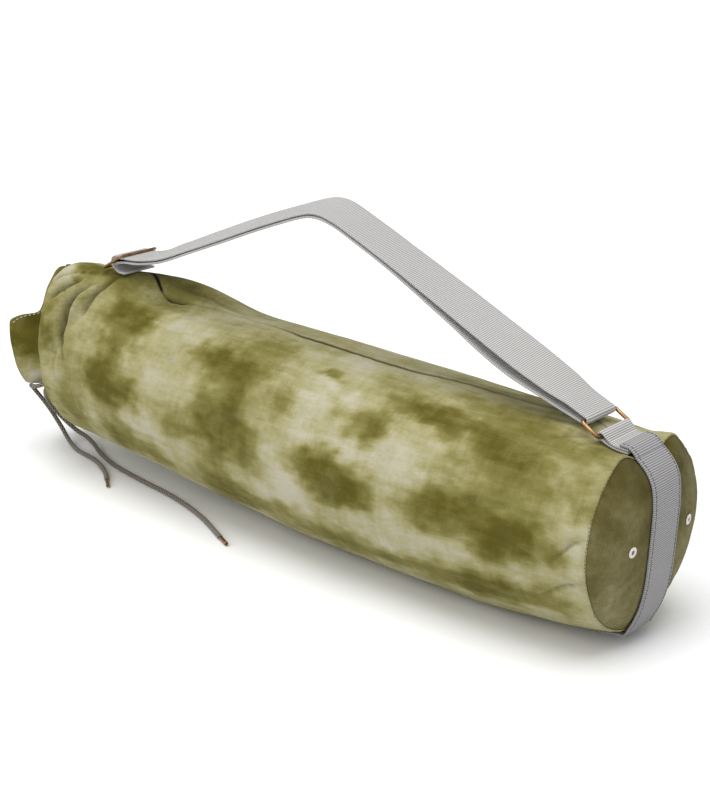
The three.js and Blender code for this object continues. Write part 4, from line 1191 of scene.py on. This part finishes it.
# Degrees round a bar from where the webbing meets it to where it leaves
UP_OVER_MIDDLE = 180, 110
ROUND_RING = 68, -108
ROUND_MIDDLE = -60, -240
ROUND_TAB = -95, -310
# Where the strap rises from the bag, and where it turns up to the middle bar, in millimetres from that bar
SEWN_PLAY = 0.3
RISE_AHEAD = 3
RISE = 0.8
TURN_BACK = 3.4
TURN_BELOW = 4.6
STRAP_END = 4
# How far from the ring's bar the tab's two layers part
TAB_UNDER = 5
TAB_OVER = 9


def round_bar(wire):
    """From the middle of a bar of wire to the middle of the webbing round it."""
    return wire / 2 + GAP + WEB_THICK / 2


def spread(start, end, count):
    """Numbers from start to end, an even step apart."""
    return [start + (end - start) * i / count for i in range(count + 1)]


def heights_under_band(x, side):
    """Heights of the cloth under the webbing, on top for side 1 and below for side -1."""
    points = [body_point((x - MOUTH_X) / BAG_LENGTH, side * 90 + away) for away in spread(-40, 40, 20)]
    return [z for _, y, z in points if abs(y) <= WEB_WIDTH / 2 + 1]


def top_height(x):
    return max(heights_under_band(x, 1))


def bottom_height(x):
    return min(heights_under_band(x, -1))


def dome_front(height):
    """How far the base stands out under its band, at a height."""
    centre = centre_height(1)
    places = []
    for side in (-1, -0.5, 0, 0.5, 1):
        y = side * WEB_WIDTH / 2
        angle = math.degrees(math.atan2(height - centre, y))
        edge = body_point(1, angle, CLOTH + SEAM_GAP)
        way = min(1, math.hypot(y, height - centre) / math.hypot(edge[1], edge[2] - centre))
        places.append(base_point(way, angle).x)
    return max(places)


def flat_point(x, z):
    """A point of the bag's upright middle plane."""
    return Vector((x, 0, z))


def arc(centre, radius, start, end):
    """Points round a bar, with a short straight lead at each end."""
    count = max(2, math.ceil(abs(end - start) / TURN_STEP))
    lead = math.copysign(radius * 0.6, end - start)
    points = [centre + radius * flat_point(cos(a), sin(a)) for a in spread(start, end, count)]
    before = points[0] - lead * flat_point(cos(start + 90), sin(start + 90))
    after = points[-1] + lead * flat_point(cos(end + 90), sin(end + 90))
    return [before, *points, after]


def sideways(line, distance):
    """A line of the XZ plane moved to the left of its run."""
    moved = []
    for i, point in enumerate(line):
        run = run_at(line, i)
        moved.append(flat_point(point.x - distance * run.z, point.z + distance * run.x))
    return moved


def band_section():
    """A band's cross-section as (across, out of its face), rounded at its two edges."""
    half = WEB_WIDTH / 2 - EDGE_ROUND
    face = spread(half, -half, 8)
    edge = (60, 30, 0, -30, -60)
    points = [(y, WEB_THICK / 2) for y in face]
    points += [(-half - EDGE_ROUND * cos(a), WEB_THICK / 2 * sin(a)) for a in edge]
    points += [(y, -WEB_THICK / 2) for y in reversed(face)]
    return points + [(half + EDGE_ROUND * cos(a), -WEB_THICK / 2 * sin(a)) for a in edge]


SECTION = band_section()


def band(name, points, node, lean=None, cloth=WEBBING):
    """A band of webbing along a line in the XZ plane, with its ribs and its softly waved edges.

    lean gives the degrees that lift its far edge, from its line, a point of that and the point's number.
    """
    path = smooth_route(points, WEB_RIB / 2)
    line = [flat_point(p.x, p.z) for p in path]
    pitch = length_of(line) / (len(line) - 1)
    lines = []
    for i, point in enumerate(line):
        run = run_at(line, i)
        out = flat_point(-run.z, run.x)
        turn = (lean(line, point, i) if lean else 0) * (-1 if out.z < 0 else 1)
        across = Vector((0, cos(turn), 0)) + out * sin(turn)
        face = out * cos(turn) - Vector((0, sin(turn), 0))
        rib = RIB_TOP if i % 2 else RIB_DIP
        wave = 0.35 * ripple(i * pitch / 35, 3, 51)
        lines.append([
            point + across * (y * (1 + 0.006 * ripple(i * pitch / 9, 1, 53)) + wave)
            + face * (h + math.copysign(rib * (1 - (y / RIB_HALF) ** 12), h))
            for y, h in SECTION
        ])
    girth = [0.0]
    for a, b in zip(SECTION, SECTION[1:] + SECTION[:1]):
        girth.append(girth[-1] + math.hypot(b[0] - a[0], b[1] - a[1]))
    skin(name, lines, cloth, node, caps=True, flat=lambda i, j: (pitch * i, girth[j]))
    return line


def frame_path(centre, tilt, width, depth, wire):
    """The middle line of a flat wire loop with rounded corners."""
    corner = WIRE_CORNER * wire
    half_width = (width - wire) / 2 - corner
    half_depth = max(0, (depth - wire) / 2 - corner)
    along = flat_point(cos(tilt), sin(tilt))
    path = []
    for u, v, start in ((1, 1, 0), (-1, 1, 90), (-1, -1, 180), (1, -1, 270)):
        for angle in spread(start, start + 90, 8):
            away = u * half_depth + corner * cos(angle)
            across = v * half_width + corner * sin(angle)
            path.append(centre + along * away + Vector((0, across, 0)))
    return path


LOWER_BAR = flat_point(BASE_X - RING_BACK, top_height(BASE_X - RING_BACK) + round_bar(WIRE) + REST + TAB_PLAY)
UPPER_BAR = LOWER_BAR + (RING_DEPTH - WIRE) * flat_point(-cos(RING_TILT), sin(RING_TILT))
SLIDER_ALONG = flat_point(cos(SLIDER_TILT), sin(SLIDER_TILT))
MIDDLE_BAR = flat_point(MOUTH_X + SLIDER_IN, top_height(MOUTH_X + SLIDER_IN) + SLIDER_RISE)
FRONT_BAR = MIDDLE_BAR + (SLIDER_DEPTH - SLIDER_WIRE) / 2 * SLIDER_ALONG

# Heights of the strap's two layers, in shares of the way from slider to ring and of the strap's height
STRAP_LAYERS = rows(
    "along upper lower",
    (0.035, 0.722, 0.71), (0.1, 0.756, 0.745), (0.17, 0.803, 0.793), (0.25, 0.857, 0.847), (0.33, 0.91, 0.9),
    (0.4, 0.953, 0.943), (0.44, 0.976, 0.966), (0.465, 0.986, 0.9755), (0.49, 0.985, 0.974),
    (0.52, 0.97, 0.959), (0.56, 0.941, 0.928), (0.62, 0.895, 0.881), (0.74, 0.799, 0.77), (0.86, 0.7, 0.656),
)
# Degrees that each layer of the strap leans towards the near side, along it from slider to ring
STRAP_ROLL = rows(
    "along upper lower",
    (0, 0, 0), (0.04, 4, 4), (0.1, 13, 13), (0.25, 15, 15), (0.4, 12, 12), (0.48, 11, 11), (0.54, 8, 8),
    (0.62, 8, 7), (0.74, 12, 6), (0.86, 14, 4), (0.93, 9, 0), (0.975, 0, 0), (1, 0, 0),
)


def strap_lean(line, point, i):
    """How far the strap leans at a point: its upper layer runs to the ring, and its lower layer back."""
    along = (point.x - FRONT_BAR.x) / (UPPER_BAR.x - FRONT_BAR.x)
    turning = max(range(len(line)), key=lambda k: line[k].x)
    return from_table(STRAP_ROLL, along, "upper" if i < turning else "lower")


def shoulder_strap():
    """One band: sewn to the bag, up through the slider, over to the ring, back, and round the middle bar."""
    span = UPPER_BAR.x - FRONT_BAR.x
    up = flat_point(-SLIDER_ALONG.z, SLIDER_ALONG.x)
    around = round_bar(SLIDER_WIRE)

    def layer(name):
        return [flat_point(FRONT_BAR.x + span * row["along"], STRAP_TOP * row[name]) for row in STRAP_LAYERS]

    sewn = [MIDDLE_BAR.x + SEWN_RUN * share for share in (1, 0.7, 0.4)]
    points = [flat_point(x, top_height(x) + REST + SEWN_PLAY) for x in sewn]
    points.append(flat_point(MIDDLE_BAR.x + RISE_AHEAD, top_height(MIDDLE_BAR.x) + REST + RISE))
    points.append(flat_point(MIDDLE_BAR.x - TURN_BACK, MIDDLE_BAR.z - TURN_BELOW))
    points += arc(MIDDLE_BAR, around + LAYER, *UP_OVER_MIDDLE)
    points.append(FRONT_BAR - up * (around + SLIDER_PLAY))
    points += layer("upper") + arc(UPPER_BAR, round_bar(WIRE), *ROUND_RING) + layer("lower")[::-1]
    points.append(FRONT_BAR - up * (around + SLIDER_PLAY + 2 * LAYER))
    points += arc(MIDDLE_BAR, around, *ROUND_MIDDLE)
    points.append(FRONT_BAR - up * (around + SLIDER_PLAY + LAYER) + SLIDER_ALONG * STRAP_END)
    return band("strap_webbing", points, "shoulder_strap", strap_lean)


def ring_tab():
    """The webbing loop that holds the ring's lower bar."""
    end = BASE_X - TAB_REACH

    def above(x, rise):
        return flat_point(x, top_height(x) + REST + TAB_PLAY + rise)

    under = [above(x, 0) for x in spread(end, LOWER_BAR.x + TAB_UNDER, 3)]
    over = [above(x, LAYER) for x in spread(LOWER_BAR.x + TAB_OVER, end, 2)]
    turn = arc(LOWER_BAR, round_bar(WIRE), *ROUND_TAB)
    return band("ring_tab_webbing", under + turn + over, "ring_tab")


def base_webbing():
    """The band over the base: from the top, over the tab's end, down the dome and under the belly."""
    centre = centre_height(1)
    support = []
    for share in (2.2, 1.5, 1):
        x = BASE_X - TAB_REACH * share
        support.append(flat_point(x, top_height(x) + 2 * LAYER + TAB_PLAY))
    rise = top_height(BASE_X) - centre
    fall = centre - bottom_height(BASE_X)
    heights = [centre + share * rise for share in (0.99, 0.93, 0.84, 0.7, 0.45, 0.15)]
    heights += [centre - share * fall for share in (0.15, 0.45, 0.7, 0.84, 0.93, 0.99)]
    support.append(flat_point(BASE_X, top_height(BASE_X)))
    support += [flat_point(dome_front(height), height) for height in heights]
    tucked = (BASE_X - WEB_TUCK * share for share in (0, 1 / 3, 1))
    support += [flat_point(x, bottom_height(x)) for x in tucked]
    return band("base_band_webbing", sideways(support, REST + BAND_PLAY), "base_webbing", cloth=SHADED_BAND_WEBBING)


# Stitches
def stitch_tree():
    """Geometry Nodes that lay rounded stitches end to end along the edges of a mesh."""
    tree = bpy.data.node_groups.new("row_of_stitches", "GeometryNodeTree")
    socket = tree.interface.new_socket
    socket("Geometry", in_out="INPUT", socket_type="NodeSocketGeometry")
    for name in ("Pitch", "Length", "Width"):
        socket(name, in_out="INPUT", socket_type="NodeSocketFloat")
    socket("Material", in_out="INPUT", socket_type="NodeSocketMaterial")
    socket("Geometry", in_out="OUTPUT", socket_type="NodeSocketGeometry")

    def add(kind, settings, sockets):
        made = tree.nodes.new(kind)
        for name, value in settings.items():
            setattr(made, name, value)
        for name, value in sockets.items():
            if isinstance(value, bpy.types.NodeSocket):
                tree.links.new(value, made.inputs[name])
            else:
                made.inputs[name].default_value = value
        return made.outputs

    given = tree.nodes.new("NodeGroupInput").outputs
    line = add("GeometryNodeMeshToCurve", {}, {"Mesh": given["Geometry"]})["Curve"]
    apart = {"Curve": line, "Length": given["Pitch"]}
    even = add("GeometryNodeResampleCurve", {"mode": "LENGTH"}, apart)["Curve"]
    run = add("GeometryNodeInputTangent", {}, {})["Tangent"]
    turn = add("FunctionNodeAlignRotationToVector", {"axis": "Z"}, {"Vector": run})["Rotation"]
    bead = add("GeometryNodeMeshUVSphere", {}, {"Segments": 8, "Rings": 6, "Radius": 0.5})["Mesh"]
    smooth = add("GeometryNodeSetShadeSmooth", {}, {0: bead})[0]
    sizes = {"X": given["Width"], "Y": given["Width"], "Z": given["Length"]}
    size = add("ShaderNodeCombineXYZ", {}, sizes)["Vector"]
    wanted = {"Points": even, "Instance": smooth, "Rotation": turn, "Scale": size}
    laid = add("GeometryNodeInstanceOnPoints", {}, wanted)["Instances"]
    solid = add("GeometryNodeRealizeInstances", {}, {"Geometry": laid})["Geometry"]
    done = add("GeometryNodeSetMaterial", {}, {"Geometry": solid, "Material": given["Material"]})["Geometry"]
    tree.links.new(done, tree.nodes.new("NodeGroupOutput").inputs[0])
    return tree


STITCHES = stitch_tree()


def stitches(name, lines, thread, pitch, length, width):
    """Rows of stitches along lines in millimetres, as one plain mesh."""
    points, edges = [], []
    for line in lines:
        edges += [(len(points) + i, len(points) + i + 1) for i in range(len(line) - 1)]
        points += [Vector(p) * MM for p in line]
    mesh = bpy.data.meshes.new(name)
    mesh.from_pydata(points, edges, [])
    guide = placed(name + "_guide", mesh)
    rule = guide.modifiers.new("stitches", "NODES")
    rule.node_group = STITCHES
    wanted = {"Pitch": pitch * MM, "Length": length * MM, "Width": width * MM, "Material": thread}
    for item in STITCHES.interface.items_tree:
        if item.in_out == "INPUT" and item.name in wanted:
            rule[item.identifier] = wanted[item.name]
    sewn = applied(guide)
    guide.modifiers.remove(rule)
    bpy.data.objects.remove(guide)
    return declared(placed(name, sewn), None)


def beside(line, across, out):
    """A line on a band: moved across it and out of its face."""
    return [p + Vector((0, across, 0)) for p in sideways(line, out)]


HEM_SEWN = 212 - 360, 147
EDGE_SEWN = 2.6


def sew_cloth():
    """The collar's hem and the seam between body and base."""
    hem = [collar_point(0.9, angle, -0.2) for angle in spread(*HEM_SEWN, 300)]
    stitches("collar_hem_stitches", [hem], CREAM_THREAD, pitch=4.4, length=3.0, width=0.7)
    seam = [Vector(body_point(0.9995, angle, 1.0)) for angle in spread(0, 360, 240)]
    stitches("base_seam_stitches", [seam], DARK_THREAD, pitch=3.0, length=2.2, width=0.4)


def sew_webbing(band_line):
    """The base band's two edges, and two rows across the ring's tab beside the band's end."""
    edge = WEB_WIDTH / 2 - EDGE_SEWN
    face = WEB_THICK / 2 + 0.28
    both_edges = [beside(band_line[3:-3], side * edge, face) for side in (-1, 1)]
    stitches("base_band_stitches", both_edges, GREY_THREAD, pitch=3.4, length=2.9, width=0.62)
    rows_across = []
    for back in (1.2, 7.5):
        x = band_line[0].x - back
        height = top_height(x) + REST + TAB_PLAY + LAYER + face
        rows_across.append([Vector((x, y, height)) for y in spread(-edge, edge, 20)])
    stitches("tab_cross_stitches", rows_across, CREAM_THREAD, pitch=2.6, length=2.0, width=0.85)


# Drawcord channel
def channel_point(t, angle, lift):
    """A point of the channel's strip, at a share of its width and a height over the cord's cover."""
    cover = GAP + (CORD_DIAMETER + 2 * CORD_PLAY) * sin(180 * t) ** 0.45
    out = THROAT_MIDDLE + CHANNEL_WIDTH / NECK_REACH / 2 * (2 * t - 1)
    return neck_point(out, angle, -(cover + lift))


def channel_cloth():
    start = OPENING_ANGLE + CHANNEL_OPENING / 2
    angles = spread(start, start + 360 - CHANNEL_OPENING, 220)
    shares = [0, 0.05, 0.14, 0.3, 0.5, 0.7, 0.86, 0.95, 1]
    lines, dye = [], []
    for angle in angles:
        pucker = 0.5 * ripple(angle / 4, 2, 61)
        outer = [channel_point(t, angle, CHANNEL_CLOTH + pucker * sin(180 * t)) for t in shares]
        inner = [channel_point(t, angle, 0) for t in reversed(shares)]
        lines.append(outer + inner)
        dye.append([0.35 + 0.25 * ripple(angle / 30, 5)] * (2 * len(shares)))
    skin(
        "channel_cloth", lines, BASE_CANVAS, "cord_channel", caps=True,
        flat=lambda i, j: (CHANNEL_WIDTH * j / 8, 1.3 * i), values={"dye": dye},
    )
    loop = [loop_point(angle) for angle in angles]
    tube("channel_cord", spaced(loop, CORD_STEP), CORD_DIAMETER / 2, CORD_SIDES, CORD, "cord_loop")


def metal_fittings():
    """The ring, and the slider's frame with its middle bar."""
    path = frame_path((LOWER_BAR + UPPER_BAR) / 2, -RING_TILT, RING_WIDTH, RING_DEPTH, WIRE)
    tube("ring_wire", path, WIRE / 2, WIRE_SIDES, COPPER, "ring", closed=True)
    path = frame_path(MIDDLE_BAR, SLIDER_TILT, SLIDER_WIDTH, SLIDER_DEPTH, SLIDER_WIRE)
    tube("slider_wire", path, SLIDER_WIRE / 2, WIRE_SIDES, COPPER, "slider", closed=True)
    reach = Vector((0, (SLIDER_WIDTH - SLIDER_WIRE) / 2, 0))
    path = [MIDDLE_BAR + reach * share for share in spread(-1, 1, 12)]
    tube("slider_bar", path, SLIDER_WIRE / 2, WIRE_SIDES, COPPER, None)


# The rest of the pieces
base_cloth()
eyelet("near_eyelet", -1, "eyelet_near")
eyelet("far_eyelet", 1, "eyelet_far")
shoulder_strap()
ring_tab()
sew_webbing(base_webbing())
sew_cloth()
channel_cloth()
metal_fittings()


# Floor and light
FLOOR_REACH = 200
SKY_STRENGTH = 0.55


def add_floor():
    """White paper, in metres, that reaches past the picture's horizon."""
    corners = [(FLOOR_REACH * x, FLOOR_REACH * y, 0) for x, y in ((-1, -1), (1, -1), (1, 1), (-1, 1))]
    mesh = bpy.data.meshes.new("floor")
    mesh.from_pydata(corners, [], [(0, 1, 2, 3)])
    paper = Finish("white_paper", {"Base Color": (0.86, 0.86, 0.86, 1.0), "Roughness": 0.9})
    mesh.materials.append(paper.material)
    floor = placed("floor", mesh)


def add_sun(name, azimuth, elevation, strength, softness):
    light = bpy.data.lights.new(name, "SUN")
    light.energy = strength
    light.angle = math.radians(softness)
    back, right, up = unit_axes(azimuth, elevation)
    placed(name, light).matrix_world = turned_to(right, up, back)


add_floor()
add_sun("overhead", azimuth=10, elevation=84, strength=2.3, softness=50)
add_sun("front_left", azimuth=-15, elevation=36, strength=0.95, softness=40)
world = bpy.data.worlds.new("studio")
world.use_nodes = True
sky = world.node_tree.nodes["Background"].inputs
sky["Color"].default_value = (0.98, 0.99, 1.0, 1.0)
sky["Strength"].default_value = SKY_STRENGTH
bpy.context.scene.world = world
bpy.context.scene.view_settings.view_transform = "Standard"
